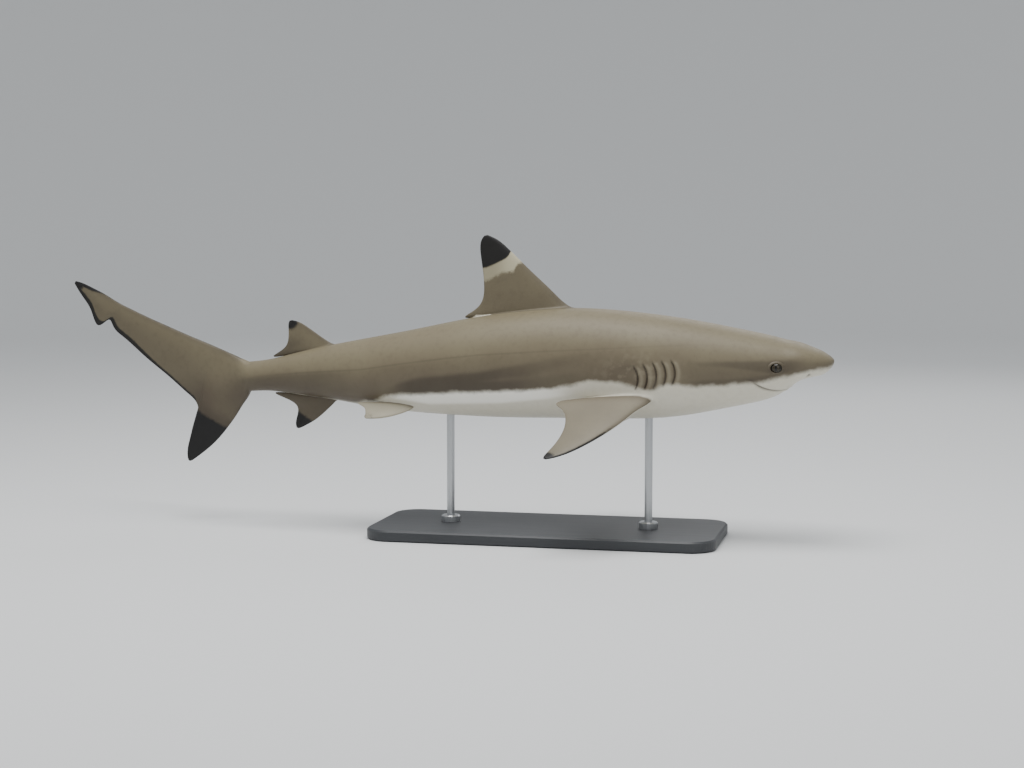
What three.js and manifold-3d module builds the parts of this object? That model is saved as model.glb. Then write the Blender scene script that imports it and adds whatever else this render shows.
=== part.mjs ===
// A life-size blacktip reef shark, swimming level with its nose a little up, on a plain display stand.
// Units are millimetres. +X is towards the snout, +Y is the animal's left, +Z is up, and the origin is the
// middle of the underside of the stand's base. The animal is drawn in body coordinates: s runs back from the
// tip of the snout along the body, y is to its left and z is up from the line through snout and tail stalk.
import * as THREE from "three";
import { mergeVertices } from "three/addons/utils/BufferGeometryUtils.js";
import Module from "manifold-3d";

const wasm = await Module();
wasm.setup();

// ---- Driving dimensions -------------------------------------------------------------------------------
const TOTAL_LENGTH = 1400; // snout tip to the tip of the upper tail lobe, in a straight line along the body
const AXIS_HEIGHT = 300; // body line above the floor, over the middle of the base
const BALANCE_AT = 500; // distance s of the point that stands over the middle of the base
const NOSE_UP = THREE.MathUtils.degToRad(2.5); // pitch of the body line
const GAP = 0.3; // clear space between two solids that touch

// Places along the body where one named piece ends and the next begins.
const CUT = { nape: 196, shoulder: 345, waist: 612, hips: 866, pit: 1062.15 };

// ---- Curves -------------------------------------------------------------------------------------------
// A natural cubic spline through (at[i], value[i]).
function spline(at, value) {
  const n = at.length;
  const bend = new Array(n).fill(0);
  const upper = new Array(n).fill(0);
  for (let i = 1; i < n - 1; i++) {
    const before = at[i] - at[i - 1];
    const after = at[i + 1] - at[i];
    const turn = (value[i + 1] - value[i]) / after - (value[i] - value[i - 1]) / before;
    const pivot = 2 * (before + after) - before * upper[i - 1];
    upper[i] = after / pivot;
    bend[i] = (6 * turn - before * bend[i - 1]) / pivot;
  }
  for (let i = n - 2; i > 0; i--) bend[i] -= upper[i] * bend[i + 1];
  return (x) => {
    let i = 0;
    while (i < n - 2 && x > at[i + 1]) i++;
    const width = at[i + 1] - at[i];
    const a = (at[i + 1] - x) / width;
    const b = 1 - a;
    const curl = ((a ** 3 - a) * bend[i] + (b ** 3 - b) * bend[i + 1]) * (width ** 2 / 6);
    return a * value[i] + b * value[i + 1] + curl;
  };
}

const smoothstep = (from, to, x) => THREE.MathUtils.smoothstep(x, from, to);
const lerp = THREE.MathUtils.lerp;

// Body coordinates to the part's frame, with the pitch of the body.
function place(s, y, z) {
  const ahead = BALANCE_AT - s;
  return new THREE.Vector3(
    ahead * Math.cos(NOSE_UP) - z * Math.sin(NOSE_UP),
    y,
    AXIS_HEIGHT + ahead * Math.sin(NOSE_UP) + z * Math.cos(NOSE_UP),
  );
}

// ---- The body's sections ------------------------------------------------------------------------------
// Each station holds its distance s, the height of the back, the depth of the belly and the half width.
const STATIONS = {
  tip: [0, 9.5, -17.5, 44],
  nostrils: [26, 20.5, -24.5, 48.5],
  upperLip: [64, 35.5, -35, 55],
  chin: [80, 39, -46, 58],
  eye: [95, 43.5, -55, 61],
  mouthCorner: [134, 53.8, -67, 67.5],
  nape: [190, 67, -77, 74.5],
  gills: [261, 82, -88, 81],
  pectoralOrigin: [311, 90.5, -91.6, 84],
  shoulder: [400, 102, -90.5, 86],
  dorsalOrigin: [470, 105.8, -88.5, 85],
  midDorsal: [540, 103.5, -86.5, 83],
  dorsalEnd: [601, 98.5, -84, 80],
  waist: [658, 91, -80, 75.5],
  pelvicOrigin: [740, 77.5, -72.8, 67],
  vent: [820, 65.5, -62, 56],
  analOrigin: [900, 53.5, -46.5, 42],
  analEnd: [969, 41, -35.5, 31.5],
  stalk: [1025, 30, -27.6, 23],
  pit: [1062.15, 27, -27.5, 19],
};
const SNOUT_ROUND_HEIGHT = 24; // the snout is rounded off over this length, seen from the side
const SNOUT_ROUND_WIDTH = 60; // and over this one, seen from above
const WIDEST_SHARE = 0.48; // height of the widest level, as a share of the depth from the belly up
const SQUARENESS = { back: 2.1, chin: 2.5, belly: 2.15 }; // exponents of the outline; 2 is an ellipse

const rows = Object.values(STATIONS);
const column = (k) => spline(rows.map((r) => r[0]), rows.map((r) => r[k]));
const backLine = column(1);
const bellyLine = column(2);
const halfWidth = column(3);

// The quarter-ellipse that closes the snout over its first `length` millimetres.
const roundOff = (s, length) => Math.sqrt(1 - Math.max(0, 1 - s / length) ** 2);

// The point of the body's section at s and angle t, where 0 is the left side and a quarter turn is the back.
function bodyPoint(s, t, grow = 0) {
  const tall = roundOff(s, SNOUT_ROUND_HEIGHT);
  const top = backLine(s) * tall + grow;
  const bottom = bellyLine(s) * tall - grow;
  const half = halfWidth(s) * roundOff(s, SNOUT_ROUND_WIDTH) + grow;
  const level = lerp(bottom, top, WIDEST_SHARE);
  const up = Math.sin(t);
  const under = lerp(SQUARENESS.chin, SQUARENESS.belly, smoothstep(150, 420, s));
  const power = 2 / (up > 0 ? SQUARENESS.back : under);
  const reach = up > 0 ? top - level : level - bottom;
  const across = Math.cos(t);
  return [
    s,
    half * Math.sign(across) * Math.abs(across) ** power,
    level + Math.sign(up) * reach * Math.abs(up) ** power,
  ];
}

// ---- Building solids ----------------------------------------------------------------------------------
// A closed solid skinned over rings of points with the same count; each end is a fan to a point.
function loft(rings, startPoint, endPoint) {
  const n = rings[0].length;
  const points = [...rings.flat(), startPoint, endPoint];
  const start = points.length - 2;
  const end = points.length - 1;
  const faces = [];
  for (let i = 0; i < rings.length - 1; i++)
    for (let j = 0; j < n; j++) {
      const a = i * n + j;
      const b = i * n + ((j + 1) % n);
      faces.push([a, b, b + n], [a, b + n, a + n]);
    }
  const last = (rings.length - 1) * n;
  for (let j = 0; j < n; j++) {
    faces.push([start, (j + 1) % n, j]);
    faces.push([end, last + j, last + ((j + 1) % n)]);
  }
  let volume = 0;
  for (const [a, b, c] of faces)
    volume += points[a].dot(new THREE.Vector3().crossVectors(points[b], points[c]));
  if (volume < 0) for (const face of faces) face.reverse();
  const geometry = new THREE.BufferGeometry();
  geometry.setAttribute("position", new THREE.Float32BufferAttribute(points.flatMap((p) => p.toArray()), 3));
  geometry.setIndex(faces.flat());
  return geometry;
}

const centre = (ring) =>
  ring.reduce((sum, p) => sum.add(p), new THREE.Vector3()).divideScalar(ring.length);

function solidOf(geometry) {
  const bare = geometry.clone();
  bare.deleteAttribute("normal");
  bare.deleteAttribute("uv");
  const merged = mergeVertices(bare, 1e-3);
  return new wasm.Manifold(
    new wasm.Mesh({
      numProp: 3,
      vertProperties: merged.attributes.position.array,
      triVerts: new Uint32Array(merged.index.array),
    }),
  );
}

function geometryOf(solid) {
  const mesh = solid.getMesh();
  const geometry = new THREE.BufferGeometry();
  geometry.setAttribute("position", new THREE.BufferAttribute(mesh.vertProperties, 3));
  geometry.setIndex(new THREE.BufferAttribute(mesh.triVerts, 1));
  return geometry;
}

// A length of the body from one distance to another, `grow` millimetres larger all round.
const RING_POINTS = 26;
function bodyLength(from, to, ringCount, grow = 0) {
  const rings = [];
  for (let i = 0; i < ringCount; i++) {
    const share = i / (ringCount - 1);
    const s = from + (to - from) * (from < 1 ? share ** 1.6 : share);
    const turns = Array.from({ length: RING_POINTS }, (_, j) => (2 * Math.PI * j) / RING_POINTS);
    rings.push(turns.map((turn) => place(...bodyPoint(s, turn, grow))));
  }
  const nose = from < 1 ? place(-grow, 0, 0) : centre(rings[0]);
  return solidOf(loft(rings, nose, centre(rings.at(-1))));
}

// ---- Fins ---------------------------------------------------------------------------------------------
// A fin is a ladder of rungs from root to tip. Each rung is [front a, front b, rear a, rear b, half
// thickness], with a measured back and b outwards in the fin's own sheet.
const EDGE = 0.45; // half thickness of a fin's trailing edge
const CHORD_POINTS = 7;
const RUNGS_DRAWN = 10;
const TAIL_RUNGS_DRAWN = 20;

// Half thickness across a fin, 1 at its thickest, with a round front and a fine rear edge.
const foil = (c) =>
  10 * (0.2969 * Math.sqrt(c) - 0.126 * c - 0.3516 * c ** 2 + 0.2843 * c ** 3 - 0.1036 * c ** 4);

function ladder(rungs) {
  const at = rungs.map((_, i) => i / (rungs.length - 1));
  const curves = rungs[0].map((_, k) => spline(at, rungs.map((r) => r[k])));
  return (v) => curves.map((curve) => curve(v));
}

// A fin's solid. sheet(a, b, n) places a point of the fin's sheet, n to its side, in body coordinates. The
// root is carried `sunk` millimetres into the body, which is cut away from it afterwards.
function finSolid(rungs, sheet, sunk = 0, drawn = RUNGS_DRAWN) {
  const rung = ladder(rungs);
  const rings = [];
  for (let i = sunk ? -1 : 0; i < drawn; i++) {
    const v = Math.max(0, i) / drawn;
    const [frontA, frontB, rearA, rearB, half] = rung(v);
    const inward = i < 0 ? -sunk : 0;
    const point = (k, side) => {
      const c = 0.5 - 0.5 * Math.cos((Math.PI * k) / CHORD_POINTS);
      const n = side * (half * foil(c) + EDGE * c);
      return place(...sheet(lerp(frontA, rearA, c), lerp(frontB, rearB, c) + inward, n));
    };
    const ring = [];
    for (let k = 0; k <= CHORD_POINTS; k++) ring.push(point(k, 1));
    for (let k = CHORD_POINTS; k > 0; k--) ring.push(point(k, -1));
    rings.push(ring);
  }
  const [tipA, tipB] = rung(1);
  return solidOf(loft(rings, centre(rings[0]), place(...sheet(tipA, tipB, 0))));
}

// Fins on the midline are drawn straight in s and z.
const midline = (s, z, n) => [s, n, z];

const DORSAL_RUNGS = [
  [446, 101, 598, 95, 9.5],
  [469, 117, 649, 95, 8],
  [491, 139.5, 624, 113, 6.8],
  [521.5, 170, 611.5, 146, 5.6],
  [552, 201.5, 612.5, 180, 4.4],
  [576, 225.5, 615, 207, 3.2],
  [592, 236, 614, 227.5, 2],
  [601, 240, 607, 238.8, 0.8],
];
const SECOND_DORSAL_RUNGS = [
  [893, 52, 966, 39.5, 5],
  [907, 59.5, 1014, 34.5, 4.2],
  [923, 70.5, 996.5, 47, 3.4],
  [942, 84.5, 984.5, 63, 2.7],
  [957, 94.5, 982.5, 80, 1.9],
  [968, 99, 982, 93, 1.1],
  [974.5, 100.4, 979.5, 99.5, 0.6],
];
const ANAL_RUNGS = [
  [893, -44.5, 958, -35.5, 5],
  [906, -56.5, 1014, -31, 4.2],
  [922, -70, 991, -44, 3.4],
  [939, -82.5, 972.5, -59, 2.7],
  [956, -91.5, 974.5, -76, 1.9],
  [967, -96.5, 977.5, -88, 1.1],
  [972.5, -98, 976.5, -96.5, 0.6],
];
// The lower lobe of the tail hangs from the upper lobe's underside.
const LOWER_LOBE_RUNGS = [
  [1056, -24, 1160, -38, 6.4],
  [1075, -47, 1166, -56, 5.4],
  [1091, -69.5, 1173, -74, 4.6],
  [1108.5, -91, 1181, -95, 3.8],
  [1131, -115, 1188, -117, 2.9],
  [1159, -137.5, 1193, -136, 2],
  [1177, -149.5, 1193, -147, 1.3],
  [1188.5, -155, 1190.5, -154.5, 0.6],
];
// The upper lobe carries on from the tail stalk, so its rungs run from the upper edge to the lower one.
const UPPER_LOBE_RUNGS = [
  [1062.3, 27, 1062.3, -27.5, 19],
  [1083, 36.5, 1100, -33, 13.5],
  [1107, 48, 1148, -43, 9.5],
  [1136, 61, 1184, -34, 7.2],
  [1178, 79, 1219, 1.5, 5.9],
  [1222, 99, 1264, 39.5, 5],
  [1267, 120, 1309, 80.5, 4.2],
  [1297, 135, 1332, 111.5, 3.8],
  [1318, 147, 1359, 103, 3.4],
  [1352, 167, 1371, 134, 2.6],
  [1380, 181.3, 1387.5, 161, 1.6],
  [1397, 187, 1400, 182.5, 0.7],
];

// Paired fins: `root` is the front end of the base, `droop` how far the sheet hangs below level, `climb` how
// far its base rises towards the rear and `lift` the bend of the tip out of the sheet.
function pairedSheet({ root, droop, climb, lift, span }, side) {
  const back = new THREE.Vector3(Math.cos(climb), 0, Math.sin(climb));
  const out = new THREE.Vector3(0, side * Math.cos(droop), -Math.sin(droop));
  const off = new THREE.Vector3().crossVectors(back, out).multiplyScalar(-side);
  return (a, b, n) => {
    const bend = lift * Math.max(0, b / span) ** 2;
    const p = new THREE.Vector3(root[0], side * root[1], root[2]);
    p.addScaledVector(back, a).addScaledVector(out, b).addScaledVector(off, n + bend);
    return p.toArray();
  };
}

const PECTORAL = {
  root: [303, 70, -51],
  droop: THREE.MathUtils.degToRad(27),
  climb: THREE.MathUtils.degToRad(3),
  lift: 6,
  span: 186,
};
const PECTORAL_RUNGS = [
  [-2, 0, 82, 0, 10.5],
  [9, 20, 162, 20, 9.4],
  [26, 43, 155, 44, 8.2],
  [44, 74, 143, 74, 6.9],
  [66, 107, 141.5, 106, 5.5],
  [93, 140, 147, 137, 4],
  [121.5, 168, 155, 161, 2.8],
  [145, 183.5, 161.5, 177, 1.7],
  [158, 188.5, 163, 186, 0.8],
];
const PELVIC = {
  root: [738, 40, -58],
  droop: THREE.MathUtils.degToRad(32),
  climb: THREE.MathUtils.degToRad(7),
  lift: 2,
  span: 52,
};
const PELVIC_RUNGS = [
  [0, 0, 62, 0, 5.6],
  [4, 10, 104, 7, 4.8],
  [14, 20, 93, 17, 4],
  [31, 32, 86, 28, 3.2],
  [48, 40.5, 84, 37, 2.4],
  [65, 45.5, 84.5, 43, 1.6],
  [79, 47.5, 82, 46.6, 0.7],
];

// A prism across the body, `half` to each side, over an outline of [s, z] corners.
function prism(outline, half) {
  const left = outline.map(([s, z]) => place(s, half, z));
  const right = outline.map(([s, z]) => place(s, -half, z));
  return solidOf(loft([left, right], centre(left), centre(right)));
}

// The room below the line where the lower lobe leaves the upper one, `drop` under that line.
const LOBE_CUT = [
  [1050, -29.5],
  [1175, -45],
  [1230, -70],
];
const TAIL_ROOM = 300; // more than the tail fin measures above or below the body line
const TAIL_HALF_ROOM = 60; // and more than it measures to each side
function underLobeCut(drop) {
  const cut = LOBE_CUT.map(([s, z]) => [s, z - drop]);
  const below = [[LOBE_CUT.at(-1)[0], -TAIL_ROOM], [LOBE_CUT[0][0], -TAIL_ROOM]];
  return prism([...cut, ...below], TAIL_HALF_ROOM);
}

function behindStalk() {
  const front = CUT.pit + GAP / 2;
  const rear = TOTAL_LENGTH + TAIL_HALF_ROOM;
  const outline = [[front, TAIL_ROOM], [rear, TAIL_ROOM], [rear, -TAIL_ROOM], [front, -TAIL_ROOM]];
  return prism(outline, TAIL_HALF_ROOM);
}

// ---- Mouth, eyes, nostrils and gills ------------------------------------------------------------------
const MOUTH = { front: 77, frontLevel: -39, corner: 134, cornerLevel: -27, halfWidth: 66, bluntness: 2.8 };
const JAW = { end: 188, archEnd: 158, overWidth: 1.6, floor: -107, steps: 12 };

// The room of the lower jaw: everything under the line of the mouth, behind its arch.
function jawRoom(grow) {
  const slope = (MOUTH.cornerLevel - MOUTH.frontLevel) / (MOUTH.corner - MOUTH.front);
  const outline = [];
  const wide = MOUTH.halfWidth * JAW.overWidth;
  for (let i = 0; i <= JAW.steps; i++) {
    const y = lerp(-wide, wide, i / JAW.steps);
    const arch = (MOUTH.corner - MOUTH.front) * Math.abs(y / MOUTH.halfWidth) ** MOUTH.bluntness;
    outline.push([Math.min(MOUTH.front + arch, JAW.archEnd) - grow, y]);
  }
  outline.push([JAW.end + grow, wide], [JAW.end + grow, -wide]);
  const ring = (z) => outline.map(([s, y]) => place(s, y, z(s)));
  const upper = ring((s) => MOUTH.frontLevel + grow + slope * (s - MOUTH.front));
  const lower = ring(() => JAW.floor);
  return solidOf(loft([upper, lower], centre(upper), centre(lower)));
}

const EYE = { at: 94, level: -6, length: 11, height: 9, depth: 7, sunk: 4.4 };
function eyeBall(side, grow) {
  const [, surface] = bodyPoint(EYE.at, 0);
  const ball = new THREE.SphereGeometry(1, 16, 10);
  ball.scale(EYE.length + grow, EYE.depth + grow, EYE.height + grow);
  ball.translate(...place(EYE.at, side * (surface - EYE.sunk), EYE.level).toArray());
  return ball;
}

const NOSTRIL = { at: 42, across: 34, level: -25, length: 7, width: 3.2, depth: 6, turn: 0.7 };
function nostril(side) {
  const pit = new THREE.SphereGeometry(1, 10, 6);
  pit.scale(NOSTRIL.width, NOSTRIL.length, NOSTRIL.depth);
  pit.rotateZ(-side * NOSTRIL.turn);
  pit.translate(...place(NOSTRIL.at, side * NOSTRIL.across, NOSTRIL.level).toArray());
  return solidOf(pit);
}

// The middle slit is the tallest; each one further back sits `drop` lower.
const GILLS = { count: 5, first: 262, pitch: 16, level: -8, drop: 2, height: 47, shrink: 2.5 };
const SLIT = { lean: 7, width: 1.3, depth: 5, proud: 3 };
function gillSlit(index, side) {
  const s = GILLS.first + index * GILLS.pitch;
  const height = GILLS.height - Math.abs(index - (GILLS.count - 1) / 2) * GILLS.shrink;
  const rings = [];
  const steps = 4;
  for (let i = 0; i <= steps; i++) {
    const share = (2 * i) / steps - 1;
    const level = GILLS.level - index * GILLS.drop + (share * height) / 2;
    const at = s + SLIT.lean * share ** 2;
    const turn = Math.asin(level / backLine(at));
    const inner = bodyPoint(at, turn, -SLIT.depth);
    const outer = bodyPoint(at, turn, SLIT.proud);
    const half = (SLIT.width / 2) * (1.05 - share ** 2);
    rings.push([
      place(at - half, side * inner[1], inner[2]),
      place(at + half, side * inner[1], inner[2]),
      place(at + half, side * outer[1], outer[2]),
      place(at - half, side * outer[1], outer[2]),
    ]);
  }
  return solidOf(loft(rings, centre(rings[0]), centre(rings.at(-1))));
}

// ---- The stand ----------------------------------------------------------------------------------------
const BASE = { length: 620, width: 260, thickness: 20, corner: 46, bevel: 3 };
const ROD = { radius: 7, sides: 20, front: 320, rear: 680, top: 280 }; // drawn up to `top`, inside the body
const COLLAR = { radius: 17, height: 12, chamfer: 2 };

function standBase() {
  const x = BASE.length / 2 - BASE.bevel;
  const y = BASE.width / 2 - BASE.bevel;
  const r = BASE.corner - BASE.bevel;
  const outline = new THREE.Shape();
  outline.moveTo(-x + r, -y);
  outline.lineTo(x - r, -y);
  outline.absarc(x - r, -y + r, r, -Math.PI / 2, 0);
  outline.lineTo(x, y - r);
  outline.absarc(x - r, y - r, r, 0, Math.PI / 2);
  outline.lineTo(-x + r, y);
  outline.absarc(-x + r, y - r, r, Math.PI / 2, Math.PI);
  outline.lineTo(-x, -y + r);
  outline.absarc(-x + r, -y + r, r, Math.PI, 1.5 * Math.PI);
  const plate = new THREE.ExtrudeGeometry(outline, {
    depth: BASE.thickness - 2 * BASE.bevel,
    bevelSize: BASE.bevel,
    bevelThickness: BASE.bevel,
    bevelSegments: 1,
    curveSegments: 6,
  });
  return plate.translate(0, 0, BASE.bevel);
}

// A rod stands on the base under distance s and is cut off just short of the belly.
function standRod(s, body) {
  const foot = place(s, 0, 0);
  const bottom = BASE.thickness + GAP;
  const rod = new THREE.CylinderGeometry(ROD.radius, ROD.radius, ROD.top - bottom, ROD.sides);
  rod.rotateX(Math.PI / 2).translate(foot.x, foot.y, (ROD.top + bottom) / 2);
  return solidOf(rod).subtract(body);
}

function standCollar(s) {
  const foot = place(s, 0, 0);
  const inner = ROD.radius + GAP;
  const { radius, height, chamfer } = COLLAR;
  const profile = [
    [inner, 0],
    [radius, 0],
    [radius, height - chamfer],
    [radius - chamfer, height],
    [inner, height],
    [inner, 0],
  ].map(([r, z]) => new THREE.Vector2(r, z));
  const ring = new THREE.LatheGeometry(profile, 16);
  return ring.rotateX(Math.PI / 2).translate(foot.x, foot.y, BASE.thickness + GAP);
}

// ---- Assembly -----------------------------------------------------------------------------------------
const model = new THREE.Group();
const skinTone = { roughness: 0.5, metalness: 0 };
const MATERIALS = {
  back: new THREE.MeshStandardMaterial({ color: 0x7d7a69, ...skinTone }),
  fin: new THREE.MeshStandardMaterial({ color: 0x74715f, ...skinTone }),
  jaw: new THREE.MeshStandardMaterial({ color: 0xd9d6c8, ...skinTone }),
  eye: new THREE.MeshStandardMaterial({ color: 0x2a2412, roughness: 0.1, metalness: 0 }),
  base: new THREE.MeshStandardMaterial({ color: 0x3a3c3e, roughness: 0.45, metalness: 0 }),
  steel: new THREE.MeshStandardMaterial({ color: 0xb9bbbd, roughness: 0.3, metalness: 1 }),
};
function add(name, shape, material) {
  const geometry = shape.isBufferGeometry ? shape : geometryOf(shape);
  const mesh = new THREE.Mesh(geometry, material);
  mesh.name = name;
  model.add(mesh);
}
const SIDES = [
  ["left", 1],
  ["right", -1],
];

// The whole flesh, a gap's width larger, is what the fins and rods are cut back from.
const flesh = bodyLength(0.4, CUT.pit, 46, GAP);

let head = bodyLength(0.4, CUT.nape - GAP / 2, 18);
const jaw = head.intersect(jawRoom(0));
head = head.subtract(jawRoom(GAP));
for (const [name, side] of SIDES) {
  head = head.subtract(solidOf(eyeBall(side, GAP))).subtract(nostril(side));
  add(`eye_${name}`, eyeBall(side, 0), MATERIALS.eye);
}
add("head", head, MATERIALS.back);
add("jaw", jaw, MATERIALS.jaw);

let gills = bodyLength(CUT.nape + GAP / 2, CUT.shoulder - GAP / 2, 8);
for (const [, side] of SIDES)
  for (let i = 0; i < GILLS.count; i++) gills = gills.subtract(gillSlit(i, side));
add("gill_region", gills, MATERIALS.back);
add("trunk_front", bodyLength(CUT.shoulder + GAP / 2, CUT.waist - GAP / 2, 10), MATERIALS.back);
add("trunk_rear", bodyLength(CUT.waist + GAP / 2, CUT.hips - GAP / 2, 10), MATERIALS.back);
add("tail_stalk", bodyLength(CUT.hips + GAP / 2, CUT.pit - GAP / 2, 9), MATERIALS.back);

const SINK = 14;
add("dorsal_fin_first", finSolid(DORSAL_RUNGS, midline, SINK).subtract(flesh), MATERIALS.fin);
add("dorsal_fin_second", finSolid(SECOND_DORSAL_RUNGS, midline, SINK).subtract(flesh), MATERIALS.fin);
add("anal_fin", finSolid(ANAL_RUNGS, midline, -SINK).subtract(flesh), MATERIALS.fin);

// The two lobes of the tail are modelled whole and parted by a thin cut along the root of the lower one.
const upperLobe = finSolid(UPPER_LOBE_RUNGS, midline, 0, TAIL_RUNGS_DRAWN);
const lowerLobe = finSolid(LOWER_LOBE_RUNGS, midline, -SINK);
const wholeTail = upperLobe.add(lowerLobe).intersect(behindStalk());
add("tail_lobe_upper", wholeTail.subtract(underLobeCut(0)), MATERIALS.fin);
add("tail_lobe_lower", wholeTail.intersect(underLobeCut(GAP)), MATERIALS.fin);

for (const [name, side] of SIDES) {
  const pectoral = finSolid(PECTORAL_RUNGS, pairedSheet(PECTORAL, side), SINK);
  const pelvic = finSolid(PELVIC_RUNGS, pairedSheet(PELVIC, side), SINK);
  add(`pectoral_fin_${name}`, pectoral.subtract(flesh), MATERIALS.fin);
  add(`pelvic_fin_${name}`, pelvic.subtract(flesh), MATERIALS.fin);
}

add("stand_base", standBase(), MATERIALS.base);
for (const [name, s] of [["front", ROD.front], ["rear", ROD.rear]]) {
  add(`stand_rod_${name}`, standRod(s, flesh), MATERIALS.steel);
  add(`stand_collar_${name}`, standCollar(s), MATERIALS.steel);
}

export default model;
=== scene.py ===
"""A life-size blacktip reef shark, swimming level on a plain display stand.

One skin covers the body and every fin. It is drawn in body coordinates in millimetres: s runs back from the
tip of the snout, y is to the animal's left and z is up from its long axis. place() turns them into metres in
the frame of the part, whose origin is under the middle of the stand's base.
"""

import math

import bpy
import numpy as np
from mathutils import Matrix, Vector


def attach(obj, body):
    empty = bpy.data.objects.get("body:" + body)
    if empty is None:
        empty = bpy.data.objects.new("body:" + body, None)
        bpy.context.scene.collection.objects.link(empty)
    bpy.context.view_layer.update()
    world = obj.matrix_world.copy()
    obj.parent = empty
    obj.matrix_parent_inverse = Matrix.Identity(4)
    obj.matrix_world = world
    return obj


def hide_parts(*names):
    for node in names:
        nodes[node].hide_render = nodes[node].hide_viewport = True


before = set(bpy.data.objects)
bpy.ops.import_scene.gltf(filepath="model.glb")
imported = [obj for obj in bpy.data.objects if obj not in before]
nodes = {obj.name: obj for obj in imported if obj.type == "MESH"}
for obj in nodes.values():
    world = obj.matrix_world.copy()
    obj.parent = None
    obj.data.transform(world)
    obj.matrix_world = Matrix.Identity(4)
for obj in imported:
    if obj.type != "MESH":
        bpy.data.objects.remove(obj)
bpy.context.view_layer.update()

# ---- Sizes shared with the solids ---------------------------------------------------------------------
AXIS_HEIGHT = 300.0
BALANCE_AT = 500.0
NOSE_UP = math.radians(2.5)
PIT = 1062.15  # where the tail stalk ends and the tail fin begins

# Each station: distance s, height of the back, depth of the belly, half width.
STATIONS = np.array([
    (0, 9.5, -17.5, 44), (26, 20.5, -24.5, 48.5), (64, 35.5, -35, 55), (80, 39, -46, 58), (95, 43.5, -55, 61),
    (134, 53.8, -67, 67.5), (190, 67, -77, 74.5), (261, 82, -88, 81), (311, 90.5, -91.6, 84),
    (400, 102, -90.5, 86), (470, 105.8, -88.5, 85), (540, 103.5, -86.5, 83), (601, 98.5, -84, 80),
    (658, 91, -80, 75.5), (740, 77.5, -72.8, 67), (820, 65.5, -62, 56), (900, 53.5, -46.5, 42),
    (969, 41, -35.5, 31.5), (1025, 30, -27.6, 23), (PIT, 27, -27.5, 19)])
SNOUT_ROUND_HEIGHT = 24.0
SNOUT_ROUND_WIDTH = 60.0
WIDEST_SHARE = 0.48
BACK_POWER = 2.1
CHIN_POWER, BELLY_POWER = 2.5, 2.15
CHIN_TO_BELLY = (150, 420)
PLAIN_FROM = 960  # from here to the pit the section turns into the ellipse that the tail fin starts from

# Rungs of each fin, from root to tip: front a, front b, rear a, rear b, half thickness.
DORSAL = [(446, 101, 598, 95, 9.5), (469, 117, 649, 95, 8), (491, 139.5, 624, 113, 6.8),
          (521.5, 170, 611.5, 146, 5.6), (552, 201.5, 612.5, 180, 4.4), (576, 225.5, 615, 207, 3.2),
          (592, 236, 614, 227.5, 2), (601, 240, 607, 238.8, 0.8)]
SECOND_DORSAL = [(893, 52, 966, 39.5, 5), (907, 59.5, 1014, 34.5, 4.2), (923, 70.5, 996.5, 47, 3.4),
                 (942, 84.5, 984.5, 63, 2.7), (957, 94.5, 982.5, 80, 1.9), (968, 99, 982, 93, 1.1),
                 (974.5, 100.4, 979.5, 99.5, 0.6)]
ANAL = [(893, -44.5, 958, -35.5, 5), (906, -56.5, 1014, -31, 4.2), (922, -70, 991, -44, 3.4),
        (939, -82.5, 972.5, -59, 2.7), (956, -91.5, 974.5, -76, 1.9), (967, -96.5, 977.5, -88, 1.1),
        (972.5, -98, 976.5, -96.5, 0.6)]
PECTORAL = [(-2, 0, 82, 0, 10.5), (9, 20, 162, 20, 9.4), (26, 43, 155, 44, 8.2), (44, 74, 143, 74, 6.9),
            (66, 107, 141.5, 106, 5.5), (93, 140, 147, 137, 4), (121.5, 168, 155, 161, 2.8),
            (145, 183.5, 161.5, 177, 1.7), (158, 188.5, 163, 186, 0.8)]
PELVIC = [(0, 0, 62, 0, 5.6), (4, 10, 104, 7, 4.8), (14, 20, 93, 17, 4), (31, 32, 86, 28, 3.2),
          (48, 40.5, 84, 37, 2.4), (65, 45.5, 84.5, 43, 1.6), (79, 47.5, 82, 46.6, 0.7)]
FIN_EDGE = 0.45  # half thickness of a fin's rear edge

# The tail fin is one blade swept along its outline. Each rung: a point of the upper edge, a point of the
# lower outline, the half thickness, and the half thickness at the lower outline.
TAIL = [(PIT, 27, PIT, -27.5, 19, 4), (1070, 30.5, 1065, -34, 16.5, 3), (1077, 33.5, 1077, -50, 13.6, 2.4),
        (1083, 36.5, 1091, -69.5, 11.6, 2), (1088, 39, 1108.5, -91, 10.2, 1.8),
        (1093, 41.3, 1131, -115, 9.2, 1.6), (1098, 43.6, 1159, -137.5, 8.4, 1.3),
        (1102, 45.5, 1177, -149.5, 8, 1), (1106, 47.4, 1190, -155, 7.7, 0.6),
        (1110, 49.2, 1193, -137, 7.5, 0.45), (1114, 51, 1188, -117, 7.4, 0.45),
        (1118, 52.8, 1181, -95, 7.3, 0.45), (1123, 55, 1173, -74, 7.2, 0.45),
        (1129, 57.8, 1167, -56, 7.1, 0.45), (1137, 61.3, 1171, -44, 7, 0.45),
        (1149, 66.5, 1185, -29.5, 6.7, 0.45), (1178, 79, 1219, 1.5, 5.9, 0.45),
        (1222, 99, 1264, 39.5, 5, 0.45), (1267, 120, 1309, 80.5, 4.2, 0.45),
        (1292, 132.5, 1327.5, 101, 3.9, 0.45), (1302, 137.5, 1333.5, 112.5, 3.7, 0.45),
        (1312, 143, 1347, 106, 3.5, 0.45), (1322, 149, 1358, 103, 3.3, 0.45),
        (1336, 158, 1364, 112, 3, 0.45), (1352, 167, 1371, 134, 2.6, 0.45),
        (1380, 181.3, 1387.5, 161, 1.6, 0.45), (1397, 187, 1400, 182.5, 0.7, 0.3)]


TINY = 1e-9  # keeps a division from failing where a length is nothing


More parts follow.
